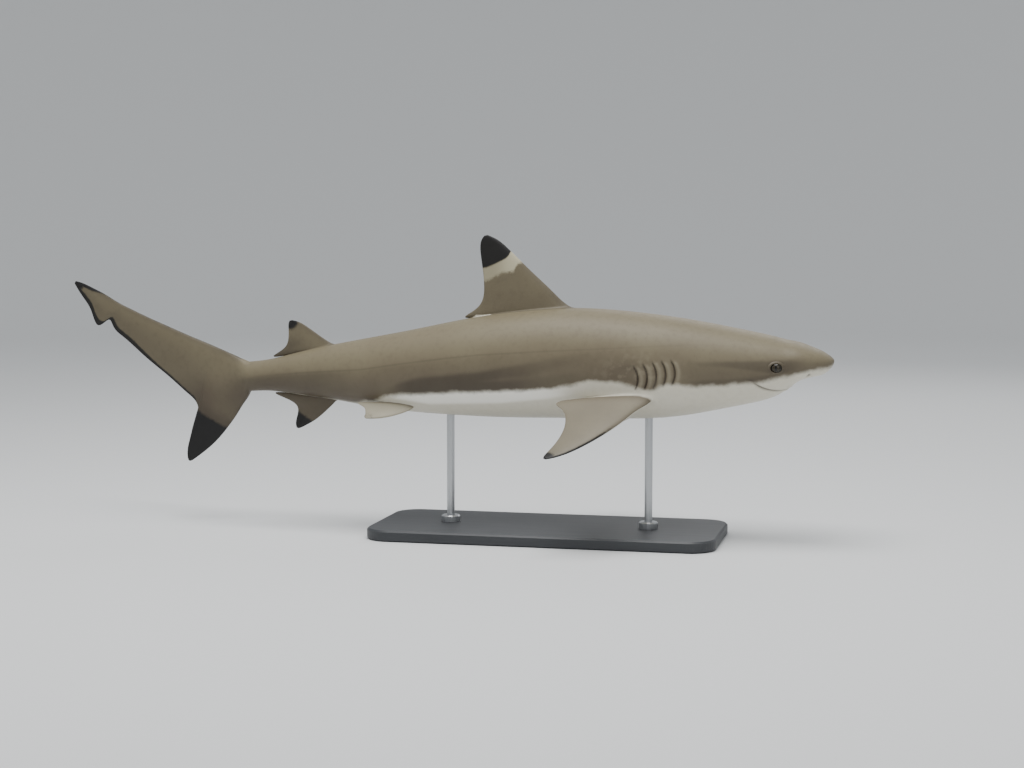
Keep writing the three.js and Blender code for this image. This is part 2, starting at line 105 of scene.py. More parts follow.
def smoothstep(low, high, x):
    """0 at low and 1 at high, rising smoothly between them; it falls where high is less than low."""
    share = np.clip((x - low) / (high - low), 0, 1)
    return share * share * (3 - 2 * share)


def lerp(a, b, share):
    """The value this share of the way from a to b."""
    return a + (b - a) * share


def bump(x, width):
    """1 where x is 0, falling off smoothly on both sides over about this width."""
    return np.exp(-(x / width) ** 2)


def spline(at, value):
    """A natural cubic spline through the rows of value, as a function of x."""
    at, value = np.asarray(at, float), np.asarray(value, float)
    n, width = len(at), np.diff(at)
    slope = np.diff(value, axis=0) / width[:, None]
    system, turn = np.eye(n), np.zeros_like(value)
    for i in range(1, n - 1):
        system[i, i - 1:i + 2] = width[i - 1], 2 * (width[i - 1] + width[i]), width[i]
        turn[i] = 6 * (slope[i] - slope[i - 1])
    bend = np.linalg.solve(system, turn)

    def curve(x):
        x = np.asarray(x, float)
        i = np.clip(np.searchsorted(at, x) - 1, 0, n - 2)
        w = width[i][..., None]
        a = ((at[i + 1] - x) / width[i])[..., None]
        b = 1 - a
        curl = ((a ** 3 - a) * bend[i] + (b ** 3 - b) * bend[i + 1]) * w ** 2 / 6
        return a * value[i] + b * value[i + 1] + curl
    return curve


def place(points):
    """Body coordinates in millimetres to metres in the frame of the part."""
    s, y, z = np.moveaxis(np.asarray(points, float), -1, 0)
    ahead = BALANCE_AT - s
    x = ahead * math.cos(NOSE_UP) - z * math.sin(NOSE_UP)
    up = AXIS_HEIGHT + ahead * math.sin(NOSE_UP) + z * math.cos(NOSE_UP)
    return np.stack([x, y, up], -1) / 1000


# ---- The body's surface -------------------------------------------------------------------------------
profile = spline(STATIONS[:, 0], STATIONS[:, 1:])


def round_off(s, length):
    """0 at the tip of the snout, rounding up to 1 at this length."""
    return np.sqrt(1 - np.clip(1 - s / length, 0, 1) ** 2)


def section(s):
    """Top, bottom, half width and widest level of the body at s."""
    top, bottom, half = np.moveaxis(profile(s), -1, 0)
    tall = round_off(s, SNOUT_ROUND_HEIGHT)
    top, bottom, half = top * tall, bottom * tall, half * round_off(s, SNOUT_ROUND_WIDTH)
    return top, bottom, half, lerp(bottom, top, WIDEST_SHARE)


def outline_power(s, above):
    """The power that sets how square the section is: 2 is an ellipse."""
    return np.where(above, BACK_POWER, lerp(CHIN_POWER, BELLY_POWER, smoothstep(*CHIN_TO_BELLY, s)))


def body_point(s, t):
    """The point of the body's surface at s and angle t: 0 is the left side, a quarter turn the back."""
    s, t = np.broadcast_arrays(np.asarray(s, float), np.asarray(t, float))
    top, bottom, half, level = section(s)
    up, across = np.sin(t), np.cos(t)
    power = 2 / outline_power(s, up > 0)
    reach = np.where(up > 0, top - level, level - bottom)
    y = half * np.sign(across) * np.abs(across) ** power
    z = level + np.sign(up) * reach * np.abs(up) ** power
    plain = smoothstep(PLAIN_FROM, PIT, s)
    return np.stack([s, lerp(y, half * across, plain), lerp(z, lerp(bottom, top, (1 + up) / 2), plain)], -1)


def depth_out(points):
    """Below zero inside the body and above zero outside it."""
    s, y, z = np.moveaxis(points, -1, 0)
    top, bottom, half, level = section(np.clip(s, 0.5, PIT))
    above = z > level
    power = outline_power(s, above)
    reach = np.where(above, top - level, level - bottom)
    return (np.abs(y) / half) ** power + (np.abs(z - level) / reach) ** power - 1


def angle_of(points):
    """The angle t of points on the body's surface, from FIRST_ANGLE up."""
    s, y, z = np.moveaxis(points, -1, 0)
    top, bottom, half, level = section(s)
    above = z > level
    power = outline_power(s, above) / 2
    reach = np.where(above, top - level, level - bottom)
    up = np.sign(z - level) * (np.abs(z - level) / reach) ** power
    across = np.sign(y) * np.clip(np.abs(y) / half, 0, 1) ** power
    t = np.arctan2(up, across)
    return FIRST_ANGLE + (t - FIRST_ANGLE) % (2 * math.pi)


# ---- The grid of the body -----------------------------------------------------------------------------
COLUMNS = 200
FIRST_ANGLE = math.radians(50)  # the grid's first column lies between the back and the left eye
HEAD_STEP, BODY_STEP = 1.25, 5.0
HEAD_END = 352.0
HEAD_DETAIL_END = 345.0  # the mouth, nostrils and gill slits all lie ahead of this
NOSE_RINGS = 20
NOSE_LENGTH = 20.0

nose = NOSE_LENGTH * (np.arange(1, NOSE_RINGS + 1) / NOSE_RINGS) ** 2
head = np.arange(NOSE_LENGTH + HEAD_STEP, HEAD_END, HEAD_STEP)
trunk = np.linspace(HEAD_END, PIT, int((PIT - HEAD_END) / BODY_STEP))
ring_at = np.concatenate([nose, head, trunk])
ring_angle = FIRST_ANGLE + 2 * math.pi * np.arange(COLUMNS) / COLUMNS
grid_s = np.repeat(ring_at[:, None], COLUMNS, 1)
grid_t = np.repeat(ring_angle[None, :], len(ring_at), 0)


def patch_around(points):
    """The rows and columns of the grid that just hold these points of the body."""
    s, t = points[..., 0], angle_of(points)
    rows = np.searchsorted(ring_at, [s.min(), s.max()])
    step = 2 * math.pi / COLUMNS
    columns = (np.array([t.min(), t.max()]) - FIRST_ANGLE) / step
    return rows[0] - 1, rows[1] + 1, int(columns[0]) - 1, int(columns[1]) + 2


def patch_loop(patch):
    """The grid indexes round a patch, from the middle of its front edge over the higher columns."""
    i0, i1, j0, j1 = patch
    middle = (j0 + j1) // 2
    loop = [(i0, j) for j in range(middle, j1)] + [(i, j1) for i in range(i0, i1)]
    loop += [(i1, j) for j in range(j1, j0, -1)] + [(i, j0) for i in range(i1, i0, -1)]
    loop += [(i0, j) for j in range(j0, middle)]
    return np.array(loop)


RELAX_MARGIN = 10
RELAX_ROUNDS = 250


def fit_patch(patch, loop, points):
    """Moves a patch's edge to these points of the body and eases the grid around it."""
    i0, i1, j0, j1 = patch
    fixed = np.zeros(grid_s.shape, bool)
    fixed[i0:i1 + 1, j0:j1 + 1] = True
    grid_s[loop[:, 0], loop[:, 1]] = points[:, 0]
    grid_t[loop[:, 0], loop[:, 1]] = angle_of(points)
    a, b = max(i0 - RELAX_MARGIN, 0), min(i1 + RELAX_MARGIN, len(ring_at) - 1)
    c, d = j0 - RELAX_MARGIN, j1 + RELAX_MARGIN
    free = ~fixed[a + 1:b, c + 1:d]
    for _ in range(RELAX_ROUNDS):
        for grid in (grid_s, grid_t):
            w = grid[a:b + 1, c:d + 1]
            mean = (w[:-2, 1:-1] + w[2:, 1:-1] + w[1:-1, :-2] + w[1:-1, 2:]) / 4
            w[1:-1, 1:-1] = np.where(free, mean, w[1:-1, 1:-1])


def matching_turn(outline, turn, loop):
    """The turn at which an outline on the body, seen from its middle, faces each grid point of a loop."""
    s, t = outline[:, 0], angle_of(outline)

    def bearing(at_s, at_t):
        across = (2 * at_t - t.max() - t.min()) / (t.max() - t.min())
        return np.arctan2(across, (2 * at_s - s.max() - s.min()) / (s.max() - s.min()))
    seen = bearing(s, t)
    order = np.argsort(seen)
    wanted = bearing(grid_s[loop[:, 0], loop[:, 1]], grid_t[loop[:, 0], loop[:, 1]])
    seen, turn = seen[order], turn[order]
    sine = np.interp(wanted, seen, np.sin(turn), period=2 * math.pi)
    cosine = np.interp(wanted, seen, np.cos(turn), period=2 * math.pi)
    return np.arctan2(sine, cosine)


OUTLINE_STEPS = 360


def open_grid(edge):
    """Opens the grid within a closed edge on the body, drawn by a function of turn, and fits it there."""
    coarse = np.linspace(0, 2 * math.pi, OUTLINE_STEPS, endpoint=False)
    outline = edge(coarse)
    patch = patch_around(outline)
    loop = patch_loop(patch)
    turn = matching_turn(outline, coarse, loop)
    fit_patch(patch, loop, edge(turn))
    return dict(patch=patch, loop=loop, turn=turn)


# ---- Fins ---------------------------------------------------------------------------------------------
BODY, TAIL_FIN, FIRST_DORSAL, BACK_FIN, ANAL_FIN, PECTORAL_FIN, PELVIC_FIN = range(7)  # parts of the skin
ROOT_REACH = 100  # below its root a fin runs on into the body, this far for a whole step of v


def foil(c):
    """Half thickness across a fin, 1 at its thickest, with a round front and a fine rear edge."""
    return 10 * (0.2969 * np.sqrt(c) - 0.126 * c - 0.3516 * c ** 2 + 0.2843 * c ** 3 - 0.1036 * c ** 4)


def rounded_edge(c, chord, edge):
    """An edge of this half thickness, rounded off where the chord ends."""
    left = np.clip((1 - c) * chord / edge, 0, 1)
    return edge * c * np.sqrt(1 - (1 - left) ** 2)


def chord_share(turn):
    """How far back along the chord a point round a fin lies: 0 at the front edge and 1 at the rear."""
    return (1 - np.cos(turn)) / 2


def fin_surface(rungs, sheet, inward):
    """A function from v (root to tip) and turn (round the fin) to body coordinates."""
    ladder = spline(np.linspace(0, 1, len(rungs)), np.array(rungs))

    def surface(v, turn):
        front_a, front_b, rear_a, rear_b, half = np.moveaxis(ladder(np.clip(v, 0, 1)), -1, 0)
        c = chord_share(turn)
        chord = np.hypot(rear_a - front_a, rear_b - front_b)
        n = np.sign(np.sin(turn)) * (half * foil(c) + rounded_edge(c, chord, FIN_EDGE))
        sunk = inward * np.minimum(v, 0) * ROOT_REACH
        return sheet(lerp(front_a, rear_a, c), lerp(front_b, rear_b, c) + sunk, n)
    return surface


def midline(a, b, n):
    """The sheet of a fin on the midline, drawn straight in s and z."""
    return np.stack([a, n, b], -1)


def paired(root, droop, climb, lift, span, side):
    """The sheet of a paired fin, which hangs below level, with its tip bent out of it."""
    back = np.array([math.cos(climb), 0, math.sin(climb)])
    out = np.array([0, side * math.cos(droop), -math.sin(droop)])
    off = -side * np.cross(back, out)
    start = np.array([root[0], side * root[1], root[2]])

    def sheet(a, b, n):
        bend = lift * (np.maximum(b, 0) / span) ** 2
        return start + a[..., None] * back + b[..., None] * out + (n + bend)[..., None] * off
    return sheet


def solve(inside_at, reach, rounds=40):
    """The values within reach of 0 at which inside_at turns from below to above zero."""
    low, high = -reach, reach
    for _ in range(rounds):
        middle = (low + high) / 2
        inside = inside_at(middle) < 0
        low, high = np.where(inside, middle, low), np.where(inside, high, middle)
    return (low + high) / 2


def drop_to_body(points, direction, reach=40.0):
    """Moves points along a direction until they lie on the body."""
    moved = solve(lambda d: depth_out(points + direction * d[:, None]), np.full(len(points), reach))
    return points + direction * moved[:, None]


ROOT_SEARCH = 0.35  # a fin's side meets the body within this share of its length from its first rung
TURN_STEP = 0.02


def grow_fin(part, rungs, sheet, inward, out, fillet):
    """Opens the body's grid at a fin's root and returns what is needed to build the fin on it."""
    surface = fin_surface(rungs, sheet, inward)

    def root(turn):
        """Where the fin's side meets the body, and where its fillet starts on the body."""
        corner_v = solve(lambda v: depth_out(surface(v, turn)), np.full(len(turn), ROOT_SEARCH))
        corner = surface(corner_v, turn)
        radius = lerp(*fillet, chord_share(turn))
        along = surface(corner_v, turn + TURN_STEP) - surface(corner_v, turn - TURN_STEP)
        along -= (along @ out)[:, None] * out
        normal = np.cross(along, out)
        normal /= np.linalg.norm(normal, axis=1)[:, None] + TINY
        normal *= np.sign(((corner - corner.mean(0)) * normal).sum(1))[:, None]
        foot = drop_to_body(corner + normal * radius[:, None], out)
        return dict(corner_v=corner_v, corner=corner, radius=radius, foot=foot)

    opened = open_grid(lambda turn: root(turn)["foot"])
    return dict(opened, **root(opened["turn"]), part=part, surface=surface)


FILLET_RINGS = 7
RING_STEP, FEWEST_RINGS = 3.4, 24
SIDE_SAMPLES = 400
FIN_TIP_AT = 0.999  # a fin is closed just short of its last rung
FILLET_SHARE = 0.2  # a fillet takes up no more than this share of a fin's side


def fin_rings(fin):
    """The rings of a fin from the body out to its tip, with v at each point."""
    turn, surface = fin["turn"], fin["surface"]
    v = lerp(fin["corner_v"], FIN_TIP_AT, np.linspace(0, 1, SIDE_SAMPLES)[:, None])
    side = surface(v, np.broadcast_to(turn, v.shape))
    length = np.zeros(v.shape)
    length[1:] = np.cumsum(np.linalg.norm(np.diff(side, axis=0), axis=2), axis=0)
    rings = max(FEWEST_RINGS, int(length[-1].max() / RING_STEP))
    wanted = np.linspace(np.minimum(fin["radius"], FILLET_SHARE * length[-1]), length[-1], rings)
    wall_v = np.stack([np.interp(wanted[:, k], length[:, k], v[:, k]) for k in range(len(turn))], -1)
    wall = surface(wall_v, np.broadcast_to(turn, wall_v.shape))
    bend = (np.arange(1, FILLET_RINGS) / FILLET_RINGS)[:, None, None]
    fillet = (1 - bend) ** 2 * fin["foot"] + 2 * bend * (1 - bend) * fin["corner"] + bend ** 2 * wall[0]
    return np.concatenate([fillet, wall]), np.concatenate([bend[:, :, 0] * wall_v[0], wall_v])


PECTORAL_POSE = dict(root=(303, 70, -51), droop=math.radians(27), climb=math.radians(3), lift=6, span=186)
PELVIC_POSE = dict(root=(738, 40, -58), droop=math.radians(32), climb=math.radians(7), lift=2, span=52)
UP, DOWN = np.array([0, 0, 1.0]), np.array([0, 0, -1.0])
# Each fin's fillet has one radius at its front edge and another at its rear edge.
fins = [
    grow_fin(FIRST_DORSAL, DORSAL, midline, 1, UP, (9, 2.5)),
    grow_fin(BACK_FIN, SECOND_DORSAL, midline, 1, UP, (5, 1.5)),
    grow_fin(ANAL_FIN, ANAL, midline, -1, DOWN, (5, 1.5)),
]
for side in (1, -1):
    for part, rungs, pose, fillet in (
        (PECTORAL_FIN, PECTORAL, PECTORAL_POSE, (9, 3)),
        (PELVIC_FIN, PELVIC, PELVIC_POSE, (5, 2)),
    ):
        out = np.array([0, side * math.cos(pose["droop"]), -math.sin(pose["droop"])])
        fins.append(grow_fin(part, rungs, paired(**pose, side=side), 1, out, fillet))

# ---- Head details -------------------------------------------------------------------------------------
EYE_AT, EYE_LEVEL, EYE_SUNK = 94.0, -6.0, 4.4
EYE_BALL = (11.0, 7.0, 9.0)  # half length, depth and height of the eyeball
EYE_OPENING = (9.6, 7.6)  # half length and height of the opening between the lids
LID_RINGS = 16
LID_REACH = 1.75  # the lids spread over this many times the size of the opening
LID_SEARCH = 60.0
# The lid's edge rests on the eyeball, then turns in behind it: share of the opening, height over the ball.
LID_EDGE = ((1.0, 0.45), (0.985, 0.1), (0.95, -2.2), (0.8, -5.0), (0.5, -6.6))


def ridge(across, height, at, half_width):
    """A smooth ridge this far across, or a groove where the height is below zero."""
    return height * bump(across - at, half_width)


def eye_centre(side):
    """The middle of an eyeball, as in the solids."""
    return np.array([EYE_AT, side * (body_point(EYE_AT, 0.0)[1] - EYE_SUNK), EYE_LEVEL])


def lid_height(reach, turn):
    """How far the lids stand out: a swollen rim, a dip round it and a brow over the upper half."""
    brow = ridge(reach, 0.8, 1.25, 0.22) * np.clip(np.sin(turn), 0, 1)
    return ridge(reach, 1.0, 1.2, 0.2) + ridge(reach, -0.35, 1.55, 0.12) + brow


def open_eye(side):
    """Opens the grid round an eye and returns the rings of the lids and of the socket behind them."""
    out = np.array([0, float(side), 0])
    centre = eye_centre(side)

    def opening(turn, reach):
        half_length, half_height = np.multiply(EYE_OPENING, reach)
        return np.stack([half_length * np.cos(turn), 0 * turn, half_height * np.sin(turn)], -1)

    def ring(turn, reach):
        return drop_to_body(centre + opening(turn, reach), out, LID_SEARCH)

    opened = open_grid(lambda turn: ring(turn, LID_REACH))
    turn = opened["turn"]
    rings = []
    for share in np.linspace(0, 1, LID_RINGS)[1:]:
        reach = lerp(LID_REACH, 1.0, share)
        rings.append(ring(turn, reach) + out * lid_height(reach, turn)[:, None])
    for reach, height in LID_EDGE:
        flat = opening(turn, reach)
        share = (flat[:, 0] / EYE_BALL[0]) ** 2 + (flat[:, 2] / EYE_BALL[2]) ** 2
        ball = EYE_BALL[1] * np.sqrt(np.clip(1 - share, 0, 1))
        rings.append(centre + flat + out * (ball + height)[:, None])
    return dict(opened, rings=np.array(rings))


MOUTH_FRONT, MOUTH_CORNER, MOUTH_HALF, MOUTH_BLUNT = 77.0, 134.0, 66.0, 2.8
MOUTH_POINTS = 241
MOUTH_FADES = (0.93, 1.0)  # the lips fade out over these shares of the mouth's half width
LIPS_LEFT_AT_CORNER = 0.25
# Across the line between the lips: height, distance behind the line, half width.
LIP_GROOVE, UPPER_LIP, LOWER_LIP = (-3.0, 0.0, 1.7), (1.2, -4.2, 3.2), (0.9, 5.0, 3.6)
LIP_SHADOW, LIP_LEAN = 1.6, 0.6
FURROW_LENGTH, FURROW_HALF, FURROW_DEPTH, FURROW_SHADOW = 13.0, 1.5, 1.5, 0.6
FURROW_ABOVE, FURROW_SLOPE, FURROW_BEHIND = 1.0, 0.25, 1.0  # how it lies to the corner of the mouth
SIDE_OF_HEAD, SIDE_OF_MOUTH = 40.0, 50.0  # the sides lie further than this from the midline


def mouth_line():
    """Points along the line between the lips, from corner to corner, on the body's surface."""
    y = MOUTH_HALF * np.sin(np.linspace(-math.pi / 2, math.pi / 2, MOUTH_POINTS))
    s = MOUTH_FRONT + (MOUTH_CORNER - MOUTH_FRONT) * np.abs(y / MOUTH_HALF) ** MOUTH_BLUNT
    top, bottom, half, level = section(s)
    power = outline_power(s, False)
    share = np.clip(1 - np.abs(y / half) ** power, 0, 1) ** (1 / power)
    return np.stack([s, y, level - (level - bottom) * share], -1)


def nearest(points, line, batch=20000):
    """Distance from each point to a line of points, and the index of the nearest one."""
    gap = np.empty(len(points))
    index = np.empty(len(points), int)
    for start in range(0, len(points), batch):
        d = np.linalg.norm(points[start:start + batch, None] - line[None], axis=2)
        index[start:start + batch] = d.argmin(1)
        gap[start:start + batch] = d.min(1)
    return gap, index


def mouth_relief(s, y, z):
    """A groove between the lips, a fuller upper lip and a soft lower one, and the shadow in the groove."""
    lips = mouth_line()
    gap, index = nearest(np.stack([s, y, z], -1).reshape(-1, 3), lips)
    at = lips[index].reshape(*s.shape, 3)
    leaning = LIP_LEAN * (at[..., 2] - z) * (np.abs(y) > SIDE_OF_MOUTH)
    behind = gap.reshape(s.shape) * np.sign(s - at[..., 0] + leaning)
    ends = lerp(1, LIPS_LEFT_AT_CORNER, smoothstep(*MOUTH_FADES, np.abs(at[..., 1]) / MOUTH_HALF))
    relief = ridge(behind, *LIP_GROOVE) + ridge(behind, *UPPER_LIP) + ridge(behind, *LOWER_LIP)
    return relief * ends, bump(behind, LIP_SHADOW) * ends


def corner_furrow(s, y, z):
    """A short furrow that runs forward and back from each corner of the mouth."""
    along = s - MOUTH_CORNER
    across = z - (mouth_line()[0, 2] + FURROW_ABOVE + FURROW_SLOPE * along)
    line = bump(across, FURROW_HALF) * bump(along - FURROW_BEHIND, FURROW_LENGTH / 2)
    return line * (np.abs(y) > SIDE_OF_HEAD)


NOSTRIL_AT, NOSTRIL_ACROSS, NOSTRIL_TURN = 42.0, 34.0, 0.7
NOSTRIL_HALF_WIDTH, NOSTRIL_HALF_LENGTH, NOSTRIL_CURVE = 1.9, 6.5, 0.03
NOSTRIL_DEPTH, NOSTRIL_DIP, NOSTRIL_DIP_RADIUS = 3.6, 0.4, 9.0
# Its flap: height, middle across and along the slit, half width and half length.
NOSTRIL_FLAP, FLAP_ACROSS, FLAP_ALONG, FLAP_HALF_WIDTH, FLAP_HALF_LENGTH = 0.9, -3.0, 0.5, 1.8, 3.2
SNOUT_UNDERSIDE = -6.0


def nostril_relief(s, y, z):
    """A slit across the underside of the snout on each side, a small flap on its front edge, a shadow."""
    relief, shadow = np.zeros((2,) + s.shape)
    for side in (1, -1):
        behind, outwards = s - NOSTRIL_AT, side * y - NOSTRIL_ACROSS
        a = behind * math.cos(NOSTRIL_TURN) + outwards * math.sin(NOSTRIL_TURN)
        b = outwards * math.cos(NOSTRIL_TURN) - behind * math.sin(NOSTRIL_TURN)
        here = (z < SNOUT_UNDERSIDE) & (side * y > 0)
        slit = bump(a - NOSTRIL_CURVE * b ** 2, NOSTRIL_HALF_WIDTH) * bump(b, NOSTRIL_HALF_LENGTH) ** 2
        flap = bump(a - FLAP_ACROSS, FLAP_HALF_WIDTH) * bump(b - FLAP_ALONG, FLAP_HALF_LENGTH)
        dip = bump(np.hypot(a, b), NOSTRIL_DIP_RADIUS)
        relief += (NOSTRIL_FLAP * flap - NOSTRIL_DEPTH * slit - NOSTRIL_DIP * dip) * here
        shadow = np.maximum(shadow, slit * here)
    return relief, shadow


GILL_COUNT, GILL_FIRST, GILL_PITCH = 5, 262.0, 16.0
GILL_LEVEL, GILL_STEP_DOWN = -8.0, 2.0  # the first slit's middle, and how much lower each next one is
GILL_HEIGHT, GILL_SHORTER = 47.0, 2.5  # the middle slit, and how much shorter its neighbours are
GILL_LEAN = 7.0  # the ends of a slit lie this far behind its middle
GILL_DEPTH, GILL_FLAP = 3.4, 1.0
GILL_FADES = (0.8, 1.08)  # a slit fades out over these shares of its half height
FLAP_RISES, FLAP_EDGE = 5.5, 0.9  # the flap's length ahead of its edge, and the edge's own width
CUT_AT, CUT_FRONT, CUT_REAR = 1.1, 1.1, 1.7  # place and half widths of the cut, behind the flap's edge
SHINE_AHEAD, SHINE_HALF = 5.0, 3.5


def gill_relief(s, y, z):
    """Curved cuts, each with the skin ahead raised into a flap over it; also their shadow and shine."""
    relief, shadow, shine = np.zeros((3,) + s.shape)
    for i in range(GILL_COUNT):
        half = (GILL_HEIGHT - GILL_SHORTER * abs(i - GILL_COUNT // 2)) / 2
        share = (z - (GILL_LEVEL - GILL_STEP_DOWN * i)) / half
        behind = s - (GILL_FIRST + GILL_PITCH * i + GILL_LEAN * share ** 2)
        reach = (1 - smoothstep(*GILL_FADES, np.abs(share))) * (np.abs(y) > SIDE_OF_HEAD)
        flap = np.where(behind < 0, np.exp(behind / FLAP_RISES), bump(behind, FLAP_EDGE))
        cut = bump(behind - CUT_AT, np.where(behind > CUT_AT, CUT_REAR, CUT_FRONT))
        relief += (GILL_FLAP * flap - GILL_DEPTH * cut) * reach
        shadow = np.maximum(shadow, cut * reach)
        shine = np.maximum(shine, bump(behind + SHINE_AHEAD, SHINE_HALF) * reach)
    return relief, shadow, shine


def grid_normals(points):
    """The outward normal at each point of the body's grid."""
    along = np.gradient(points, axis=0)
    around = (np.roll(points, -1, 1) - np.roll(points, 1, 1)) / 2
    normal = np.cross(along, around)
    normal /= np.linalg.norm(normal, axis=2)[..., None] + TINY
    outward = points * [0, 1, 1]
    outward[..., 2] -= points[..., 2].mean(1)[:, None]
    return normal * np.sign((normal * outward).sum(2))[..., None]


eyes = [open_eye(1), open_eye(-1)]
body = body_point(grid_s, grid_t)
head_rows = ring_at < HEAD_DETAIL_END
head_points = np.moveaxis(body[head_rows], -1, 0)
mouth, mouth_shadow = mouth_relief(*head_points)
nostrils, nostril_shadow = nostril_relief(*head_points)
gills, gill_shadow, gill_shine = gill_relief(*head_points)
furrow = corner_furrow(*head_points)
# painted shadow in the lip groove, the corner furrows, the nostrils and the gill slits, and painted shine on
# the gill flaps
relief, hollow, shine = np.zeros((3,) + body.shape[:2])
relief[head_rows] = mouth + nostrils + gills - FURROW_DEPTH * furrow
hollow[head_rows] = np.max([mouth_shadow, FURROW_SHADOW * furrow, nostril_shadow, gill_shadow], axis=0)
shine[head_rows] = gill_shine
body = body + grid_normals(body) * relief[..., None]

# ---- Joining the mesh ---------------------------------------------------------------------------------
# What the markings need to know of a point, with the values it has on the body: distance out along a fin or
# the tail, share of the chord and the chord's length, which side of a paired fin, distance from a fin's tip,
# painted shadow in the recesses of the head and painted shine ahead of the gill slits.
FACTS = dict(out=0.0, chord=0.0, chord_length=1.0, under=0.0, tip=999.0, hollow=0.0, shine=0.0)
vertex_blocks, fact_blocks, quads, triangles = [], [], [], []


def add_points(points, part, **facts):
    """Adds points to the skin, with the facts of each, and returns the index of the first."""
    first = sum(len(block) for block in vertex_blocks)
    fact_blocks.append({
        name: np.broadcast_to(np.asarray(value, float), points.shape[:-1]).reshape(-1)
        for name, value in dict(FACTS, part=part, **facts).items()
    })
    vertex_blocks.append(points.reshape(-1, 3))
    return first


def quads_between(lower, upper):
    """Quads between closed rings of indexes, two rings or two stacks of rings."""
    return np.stack([upper, np.roll(upper, -1, -1), np.roll(lower, -1, -1), lower], -1)


def fan(ring, tip):
    """Triangles from a closed ring of indexes to one point."""
    return np.stack([np.full(len(ring), tip), np.roll(ring, -1), ring], -1)


def stack_on(ring, points, **facts):
    """Builds rings of points on a ring of the skin and closes the last one."""
    first = add_points(points, **facts)
    for upper in first + np.arange(points[..., 0].size).reshape(points.shape[:2]):
        quads.append(quads_between(ring, upper))
        ring = upper
    last = {name: (value[-1].mean() if np.ndim(value) > 1 else value) for name, value in facts.items()}
    triangles.append(fan(ring, add_points(points[-1].mean(0)[None], **last)))


index_grid = np.arange(body[..., 0].size).reshape(body.shape[:2])
add_points(body, part=BODY, hollow=hollow, shine=shine)
keep = np.ones((len(ring_at) - 1, COLUMNS), bool)
for grown in fins + eyes:
    i0, i1, j0, j1 = grown["patch"]
    keep[i0:i1, j0:j1] = False
quads.append(quads_between(index_grid[:-1], index_grid[1:])[keep])
triangles.append(fan(index_grid[0][::-1], add_points(np.zeros((1, 3)), part=BODY)))

# The tail fin carries on from the last ring of the body.
TAIL_STEP = 4.5
TAIL_FLATTENS = 110.0  # the round stalk has become a flat blade after this much of the outline
FORK_RUNG = 14  # the rung of the tail fin at which the two lobes meet
TAIL_LEAST_EDGE = 0.2
tail = np.array(TAIL)
along_outline = np.concatenate([[0], np.cumsum(np.hypot(*np.diff(tail[:, 2:4], axis=0).T))])
fork_at = along_outline[FORK_RUNG]
tail_at = np.linspace(0, along_outline[-1], int(along_outline[-1] / TAIL_STEP))[1:, None]
upper_s, upper_z, lower_s, lower_z, half, edge = np.moveaxis(spline(along_outline, tail)(tail_at), -1, 0)
c = (1 - np.sin(ring_angle)) / 2 + 0 * tail_at
chord_length = np.hypot(lower_s - upper_s, lower_z - upper_z) + 0 * c
blade = half * foil(c) + rounded_edge(c, chord_length, np.maximum(edge, TAIL_LEAST_EDGE))
flattened = smoothstep(0, TAIL_FLATTENS, tail_at)
across = lerp(half * np.cos(ring_angle), np.sign(np.cos(ring_angle)) * blade, flattened)
tail_points = np.stack([lerp(upper_s, lower_s, c), across, lerp(upper_z, lower_z, c)], -1)
stack_on(index_grid[-1], tail_points, part=TAIL_FIN, out=tail_at + 0 * c, chord=c, chord_length=chord_length)

for fin in fins:
    fin_points, v = fin_rings(fin)
    facts = dict(
        out=v,
        chord=np.broadcast_to(chord_share(fin["turn"]), v.shape),
        chord_length=np.linalg.norm(fin_points.max(1) - fin_points.min(1), axis=1)[:, None] + 0 * v,
        under=np.broadcast_to((np.sin(fin["turn"]) > 0) * 1.0, v.shape),
        tip=np.linalg.norm(fin_points - fin_points[-1].mean(0), axis=2),
    )
    stack_on(index_grid[fin["loop"][:, 0], fin["loop"][:, 1]], fin_points, part=fin["part"], **facts)
for eye in eyes:
    stack_on(index_grid[eye["loop"][:, 0], eye["loop"][:, 1]], eye["rings"], part=BODY)

points = np.concatenate(vertex_blocks)
fact = {k: np.concatenate([block[k] for block in fact_blocks]) for k in fact_blocks[0]}
part, out, chord, tip = fact["part"], fact["out"], fact["chord"], fact["tip"]
from_front = chord * fact["chord_length"]
from_rear = (1 - chord) * fact["chord_length"]
s, y, z = points.T

# ---- Markings -----------------------------------------------------------------------------------------
# Lines drawn along the animal, each through points of distance s and height z.
WATERLINE = [(0, -8), (45, -14), (75, -21), (111, -26.5), (170, -31), (226, -32.5), (280, -27), (307, -36),
             (340, -28), (374, -20), (410, -18), (437, -23), (482, -29.5), (572, -32), (760, -35.6),
             (786, -38), (820, -48), (860, -52), (900, -45.5), (969, -34.8), (1025, -28.5), (PIT, -36)]
FLASH_BELOW = [(390, -25), (411, -35), (484, -47), (576, -54), (707, -54), (752, -46), (790, -40)]
FLANK_TOP = [(391, 32), (452, 26.6), (515, 16), (569, 8), (606, 2.4), (662, -2), (720, -6), (757, -14),
             (800, -38)]
FLANK_STRENGTH = [(380, 0), (450, 0.35), (600, 1), (740, 1), (795, 0)]
WEDGE = [(391, 12), (445, 4), (515, -9), (600, -14)]  # a lighter wedge within the dark flank
WEDGE_HALF = [(391, 9), (445, 8), (515, 5), (600, 2.5)]
LATERAL_LINE = [(130, 38), (300, 38), (497, 35), (605, 32), (661, 28), (756, 19), (834, 10), (955, 6),
                (1077, -2)]
LATERAL_STRENGTH = [(170, 0), (330, 0.5), (620, 1), (960, 1), (1060, 0)]
STREAK_TOP = [(52, 3), (68, 6), (102, 6.5), (169, 8), (236, 10)]  # the dark streak through the eye
STREAK_BELOW = [(52, -4), (77, -14), (102, -14), (169, -2), (236, 4)]
STREAK_STRENGTH = [(45, 0), (75, 1), (170, 1), (240, 0)]
CHEEK_STRENGTH = [(90, 0), (110, 1), (225, 1), (245, 0)]

